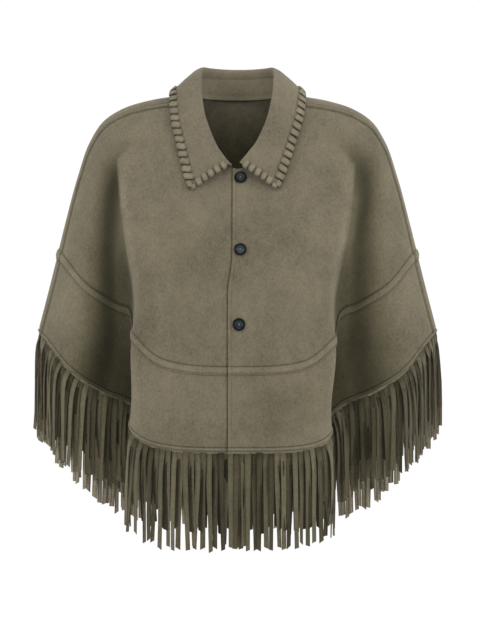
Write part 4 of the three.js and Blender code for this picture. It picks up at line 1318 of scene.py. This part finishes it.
def make_stitches(settings):
    """Topstitching along the seams, the front edge and the hem, and the collar stand's two lines."""
    lines = stitch_lines(settings)
    stand = collar_grids()["stand"]
    tall = lengths(stand["point"], 1)[0]
    for distance in (STAND_STITCH, tall[-1] - STAND_TOP_STITCH):
        row = int(np.argmin(np.abs(tall - distance)))
        lines.append((stand["point"][:, row] + stand["normal"][:, row] * 0.35, stand["normal"][:, row]))
    rods = np.concatenate([stitch_line(points, normals, settings) for points, normals in lines])
    thread = material("sewing_thread", thread_material, settings.stitch_colour)
    new_piece("topstitching", tubes(rods), thread, sharp=80)


FLOOR_SIDES = 96

# Soft lights: name, place and size in metres, and share of the light power
LIGHTS = (
    ("key_softbox", (0.1, -2.8, 2.0), (1.6, 1.2), 1),
    ("left_softbox", (-2.7, -1.5, 1.0), (1.0, 1.4), 0.76),
    ("right_softbox", (2.7, -1.6, 1.0), (1.0, 1.4), 1),
    ("top_softbox", (0, 0.2, 2.4), (2.2, 1.6), 0.6),
    ("back_softbox", (0.3, 2.9, 1.9), (2.4, 1.4), 1.3),
)
CAPE_MIDDLE = (0, 0, -0.35)

# Light from all round, by the height of its direction: where it starts to dim and ends, and how strong
# it is below
AIR_DIMS = (0.155, 0.32)
AIR_BRIGHT = 1.02


def make_stage(settings):
    """A plain pale floor: a disc of rings whose radius grows by even steps."""
    turns = circle(FLOOR_SIDES)
    radius = np.linspace(0.02, settings.floor_radius, 9)
    x, y = radius[:, None] * np.cos(turns), radius[:, None] * np.sin(turns)
    points = np.stack([x, y, np.full_like(x, settings.floor_height)], -1)
    index = np.arange(points.shape[0] * FLOOR_SIDES).reshape(-1, FLOOR_SIDES)
    index = np.concatenate([index, index[:, :1]], 1)
    mesh = bpy.data.meshes.new("studio_floor")
    faces = [*quads(index).tolist(), list(range(FLOOR_SIDES))]
    mesh.from_pydata(points.reshape(-1, 3).tolist(), [], faces)
    n = Nodes("studio_paper")
    soft = n.noise(n.coordinates("Object", (1, 1, 1)), 3, 2.0, 0.5)
    pale = np.array(settings.floor_colour)
    n.link(n.ramp(soft, [(0.2, tuple(pale * 0.99)), (0.8, tuple(pale))]), n.shader.inputs["Base Color"])
    n.shader.inputs["Roughness"].default_value = 0.95
    n.shader.inputs["Specular IOR Level"].default_value = 0.1
    mesh.materials.append(n.material)
    piece = bpy.data.objects.new("studio_floor", mesh)
    bpy.context.scene.collection.objects.link(piece)


def add_light(name, place, size, power):
    data = bpy.data.lights.new(name, "AREA")
    data.shape = "RECTANGLE"
    data.size, data.size_y = size
    data.energy = power
    light = bpy.data.objects.new(name, data)
    light.location = place
    towards = Vector(CAPE_MIDDLE) - Vector(place)
    light.rotation_euler = towards.to_track_quat("-Z", "Y").to_euler()
    bpy.context.scene.collection.objects.link(light)


def make_air(settings):
    """Light from all round: white up to a little above the level of the eye and dimmer overhead, by the
    height of its direction."""
    world = bpy.data.worlds.new("studio_air")
    world.use_nodes = True
    nodes, links = world.node_tree.nodes, world.node_tree.links
    background = next(n for n in nodes if n.type == "BACKGROUND")
    background.inputs["Color"].default_value = (1, 1, 1, 1)
    direction = nodes.new("ShaderNodeTexCoord")
    parts = nodes.new("ShaderNodeSeparateXYZ")
    fade = nodes.new("ShaderNodeMapRange")
    numbers = (*AIR_DIMS, AIR_BRIGHT, settings.air_strength)
    for key, number in zip(("From Min", "From Max", "To Min", "To Max"), numbers):
        fade.inputs[key].default_value = number
    links.new(direction.outputs["Generated"], parts.inputs["Vector"])
    links.new(parts.outputs["Z"], fade.inputs["Value"])
    links.new(fade.outputs["Result"], background.inputs["Strength"])
    bpy.context.scene.world = world


def make_studio(settings):
    """Soft lights before, above and behind the cape, and the camera at the photograph's angle."""
    make_air(settings)
    for name, place, size, share in LIGHTS:
        add_light(name, place, size, settings.light_power * share)
    data = bpy.data.cameras.new("camera")
    data.lens = settings.camera_lens
    data.sensor_width = 36
    camera = bpy.data.objects.new("camera", data)
    camera.location = (0.004, -settings.camera_distance, -0.357)
    camera.rotation_euler = (math.pi / 2, 0, 0)
    scene = bpy.context.scene
    scene.collection.objects.link(camera)
    scene.camera = camera
    scene.view_settings.view_transform = "Standard"


def colour_property(name, description, default):
    return FloatVectorProperty(
        name=name, description=description, default=default, subtype="COLOR", min=0, max=1
    )


def length_property(name, description, default, low, high):
    return FloatProperty(
        name=name, description=description, default=default, min=low, max=high, unit="LENGTH"
    )


def factor_property(name, description, default):
    return FloatProperty(
        name=name, description=description, default=default, min=0, max=1, subtype="FACTOR"
    )


class CapeClothSettings(bpy.types.PropertyGroup):
    """Cloth, thread and grain of the cape"""

    cloth_colour: colour_property("Cloth colour", "Olive taupe of the suede panels", (0.178, 0.155, 0.104))
    collar_colour: colour_property("Collar colour", "Suede of the doubled collar", (0.181, 0.157, 0.106))
    fringe_colour: colour_property("Fringe colour", "Suede of the cut strands", (0.262, 0.228, 0.162))
    lace_colour: colour_property("Lace colour", "Suede of the collar's lace", (0.2, 0.174, 0.122))
    stitch_colour: colour_property("Stitch colour", "Thread of the topstitching", (0.09, 0.078, 0.054))
    spacing: length_property(
        "Grid spacing", "Distance between the lines of the cloth's grid", 0.003, 0.002, 0.01
    )
    # Painted shade and painted light: how strongly each point's values darken and pale the suede of the
    # panels, collar, lace and fringe
    painted_shade_strength: factor_property("Fold shade", "How much darker the nap lies in the deep folds", 0.7)
    grain_bump: factor_property("Grain", "Strength of the nap's bump", 0.5)
    sheen: factor_property("Sheen", "Strength of the nap's sheen", 0.25)
    stitch_length: length_property(
        "Stitch length", "Length of thread that shows in each stitch", 0.0026, 0.001, 0.006
    )
    stitch_pitch: length_property(
        "Stitch pitch", "Distance from one stitch to the next", 0.0036, 0.0015, 0.008
    )


class CapeTrimSettings(bpy.types.PropertyGroup):
    """Fringe, lace and buttons of the cape"""

    fringe_length: length_property("Fringe length", "Length of a strand below the hem", 0.149, 0.05, 0.16)
    fringe_uneven: length_property(
        "Uneven lengths", "How much longer or shorter a strand may be", 0.0065, 0, 0.01
    )
    strand_width: length_property("Strand width", "Width of a cut strand", 0.0094, 0.003, 0.012)
    strand_pitch: length_property(
        "Strand pitch", "Distance from one strand to the next along the hem", 0.0089, 0.005, 0.015
    )
    strand_sway: length_property("Strand sway", "How far a strand's tip hangs off its line", 0.0045, 0, 0.01)
    lace_width: length_property("Lace width", "Width of the collar's lace", 0.0106, 0.004, 0.014)
    lace_thickness: length_property(
        "Lace thickness", "Thickness of the collar's lace", 0.0024, 0.001, 0.004
    )
    lace_slant: length_property(
        "Lace slant", "How far a whipstitch slants along the edge on each side of its middle", 0.002, 0, 0.005
    )
    button_colour: colour_property("Button colour", "Dark navy horn-look resin", (0.0045, 0.0063, 0.0075))
    thread_colour: colour_property("Button thread colour", "Thread of the buttons", (0.13, 0.14, 0.155))


class CapeStudioSettings(bpy.types.PropertyGroup):
    """Floor, lights and camera"""

    floor_colour: colour_property("Floor colour", "Pale paper of the floor", (0.92, 0.92, 0.915))
    floor_height: length_property(
        "Floor height", "Height of the floor below the neck, as where the cape is worn", -1.45, -3, -0.75
    )
    floor_radius: length_property("Floor radius", "Half width of the floor", 3.6, 1, 20)
    air_strength: FloatProperty(
        name="Air light", description="Strength of the light from overhead", default=0.25, min=0, max=3
    )
    light_power: FloatProperty(
        name="Light power", description="Power of the key light", default=27, min=0, max=1000, unit="POWER"
    )
    camera_distance: length_property(
        "Camera distance", "Distance from the camera to the neck", 3.5, 0.5, 20
    )
    camera_lens: FloatProperty(
        name="Camera lens", description="Focal length in millimetres", default=121.3, min=10, max=400
    )


class CAPE_OT_upper_cloth(bpy.types.Operator):
    """Lay fine suede over the four upper panels"""

    bl_idname = "cape.upper_cloth"
    bl_label = "Upper cloth"

    def execute(self, context):
        make_panels("upper", context.scene.cape_cloth)
        return {"FINISHED"}


class CAPE_OT_band(bpy.types.Operator):
    """Lay fine suede over the four panels of the lower band"""

    bl_idname = "cape.band"
    bl_label = "Lower band"

    def execute(self, context):
        make_panels("band", context.scene.cape_cloth)
        return {"FINISHED"}


class CAPE_OT_fringe(bpy.types.Operator):
    """Cut the fringe along the hem"""

    bl_idname = "cape.fringe"
    bl_label = "Fringe"

    def execute(self, context):
        make_fringe(Merged(context.scene.cape_trim, context.scene.cape_cloth))
        return {"FINISHED"}


class CAPE_OT_collar(bpy.types.Operator):
    """Turn the collar's stand and leaf"""

    bl_idname = "cape.collar"
    bl_label = "Collar"

    def execute(self, context):
        make_collar(context.scene.cape_cloth)
        return {"FINISHED"}


class CAPE_OT_lace(bpy.types.Operator):
    """Whipstitch the lace round the collar's edge"""

    bl_idname = "cape.lace"
    bl_label = "Collar lace"

    def execute(self, context):
        make_lace(Merged(context.scene.cape_trim, context.scene.cape_cloth))
        return {"FINISHED"}


class CAPE_OT_buttons(bpy.types.Operator):
    """Sew on the three buttons"""

    bl_idname = "cape.buttons"
    bl_label = "Buttons"

    def execute(self, context):
        make_buttons(context.scene.cape_trim)
        return {"FINISHED"}


class CAPE_OT_stitching(bpy.types.Operator):
    """Topstitch the seams, the front edge and the hem"""

    bl_idname = "cape.stitching"
    bl_label = "Topstitching"

    def execute(self, context):
        make_stitches(context.scene.cape_cloth)
        return {"FINISHED"}


class CAPE_OT_studio(bpy.types.Operator):
    """Set up the floor, the lights and the camera"""

    bl_idname = "cape.studio"
    bl_label = "Studio"

    def execute(self, context):
        make_stage(context.scene.cape_studio)
        make_studio(context.scene.cape_studio)
        return {"FINISHED"}


class Merged:
    """Reads a setting from the first group that has it."""

    def __init__(self, *groups):
        self.groups = groups

    def __getattr__(self, name):
        return getattr(next(group for group in self.groups if hasattr(group, name)), name)


OPERATORS = (
    CAPE_OT_upper_cloth,
    CAPE_OT_band,
    CAPE_OT_fringe,
    CAPE_OT_collar,
    CAPE_OT_lace,
    CAPE_OT_buttons,
    CAPE_OT_stitching,
    CAPE_OT_studio,
)


class CAPE_PT_panel(bpy.types.Panel):
    """Lists the cape's pieces in the order they are made"""

    bl_label = "Fringe cape"
    bl_idname = "CAPE_PT_panel"
    bl_space_type = "VIEW_3D"
    bl_region_type = "UI"
    bl_category = "Cape"

    def draw(self, context):
        layout = self.layout
        for operator in OPERATORS:
            layout.operator(operator.bl_idname)
        for group in (context.scene.cape_cloth, context.scene.cape_trim, context.scene.cape_studio):
            box = layout.box()
            for name in group.__annotations__:
                box.prop(group, name)


CLASSES = (CapeClothSettings, CapeTrimSettings, CapeStudioSettings, *OPERATORS, CAPE_PT_panel)


def register():
    for item in CLASSES:
        bpy.utils.register_class(item)
    bpy.types.Scene.cape_cloth = PointerProperty(type=CapeClothSettings)
    bpy.types.Scene.cape_trim = PointerProperty(type=CapeTrimSettings)
    bpy.types.Scene.cape_studio = PointerProperty(type=CapeStudioSettings)


def unregister():
    for name in ("cape_cloth", "cape_trim", "cape_studio"):
        delattr(bpy.types.Scene, name)
    for item in reversed(CLASSES):
        bpy.utils.unregister_class(item)


def main():
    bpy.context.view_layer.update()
    register()
    for operator in OPERATORS:
        group, name = operator.bl_idname.split(".")
        getattr(getattr(bpy.ops, group), name)()


if __name__ == "__main__":
    main()
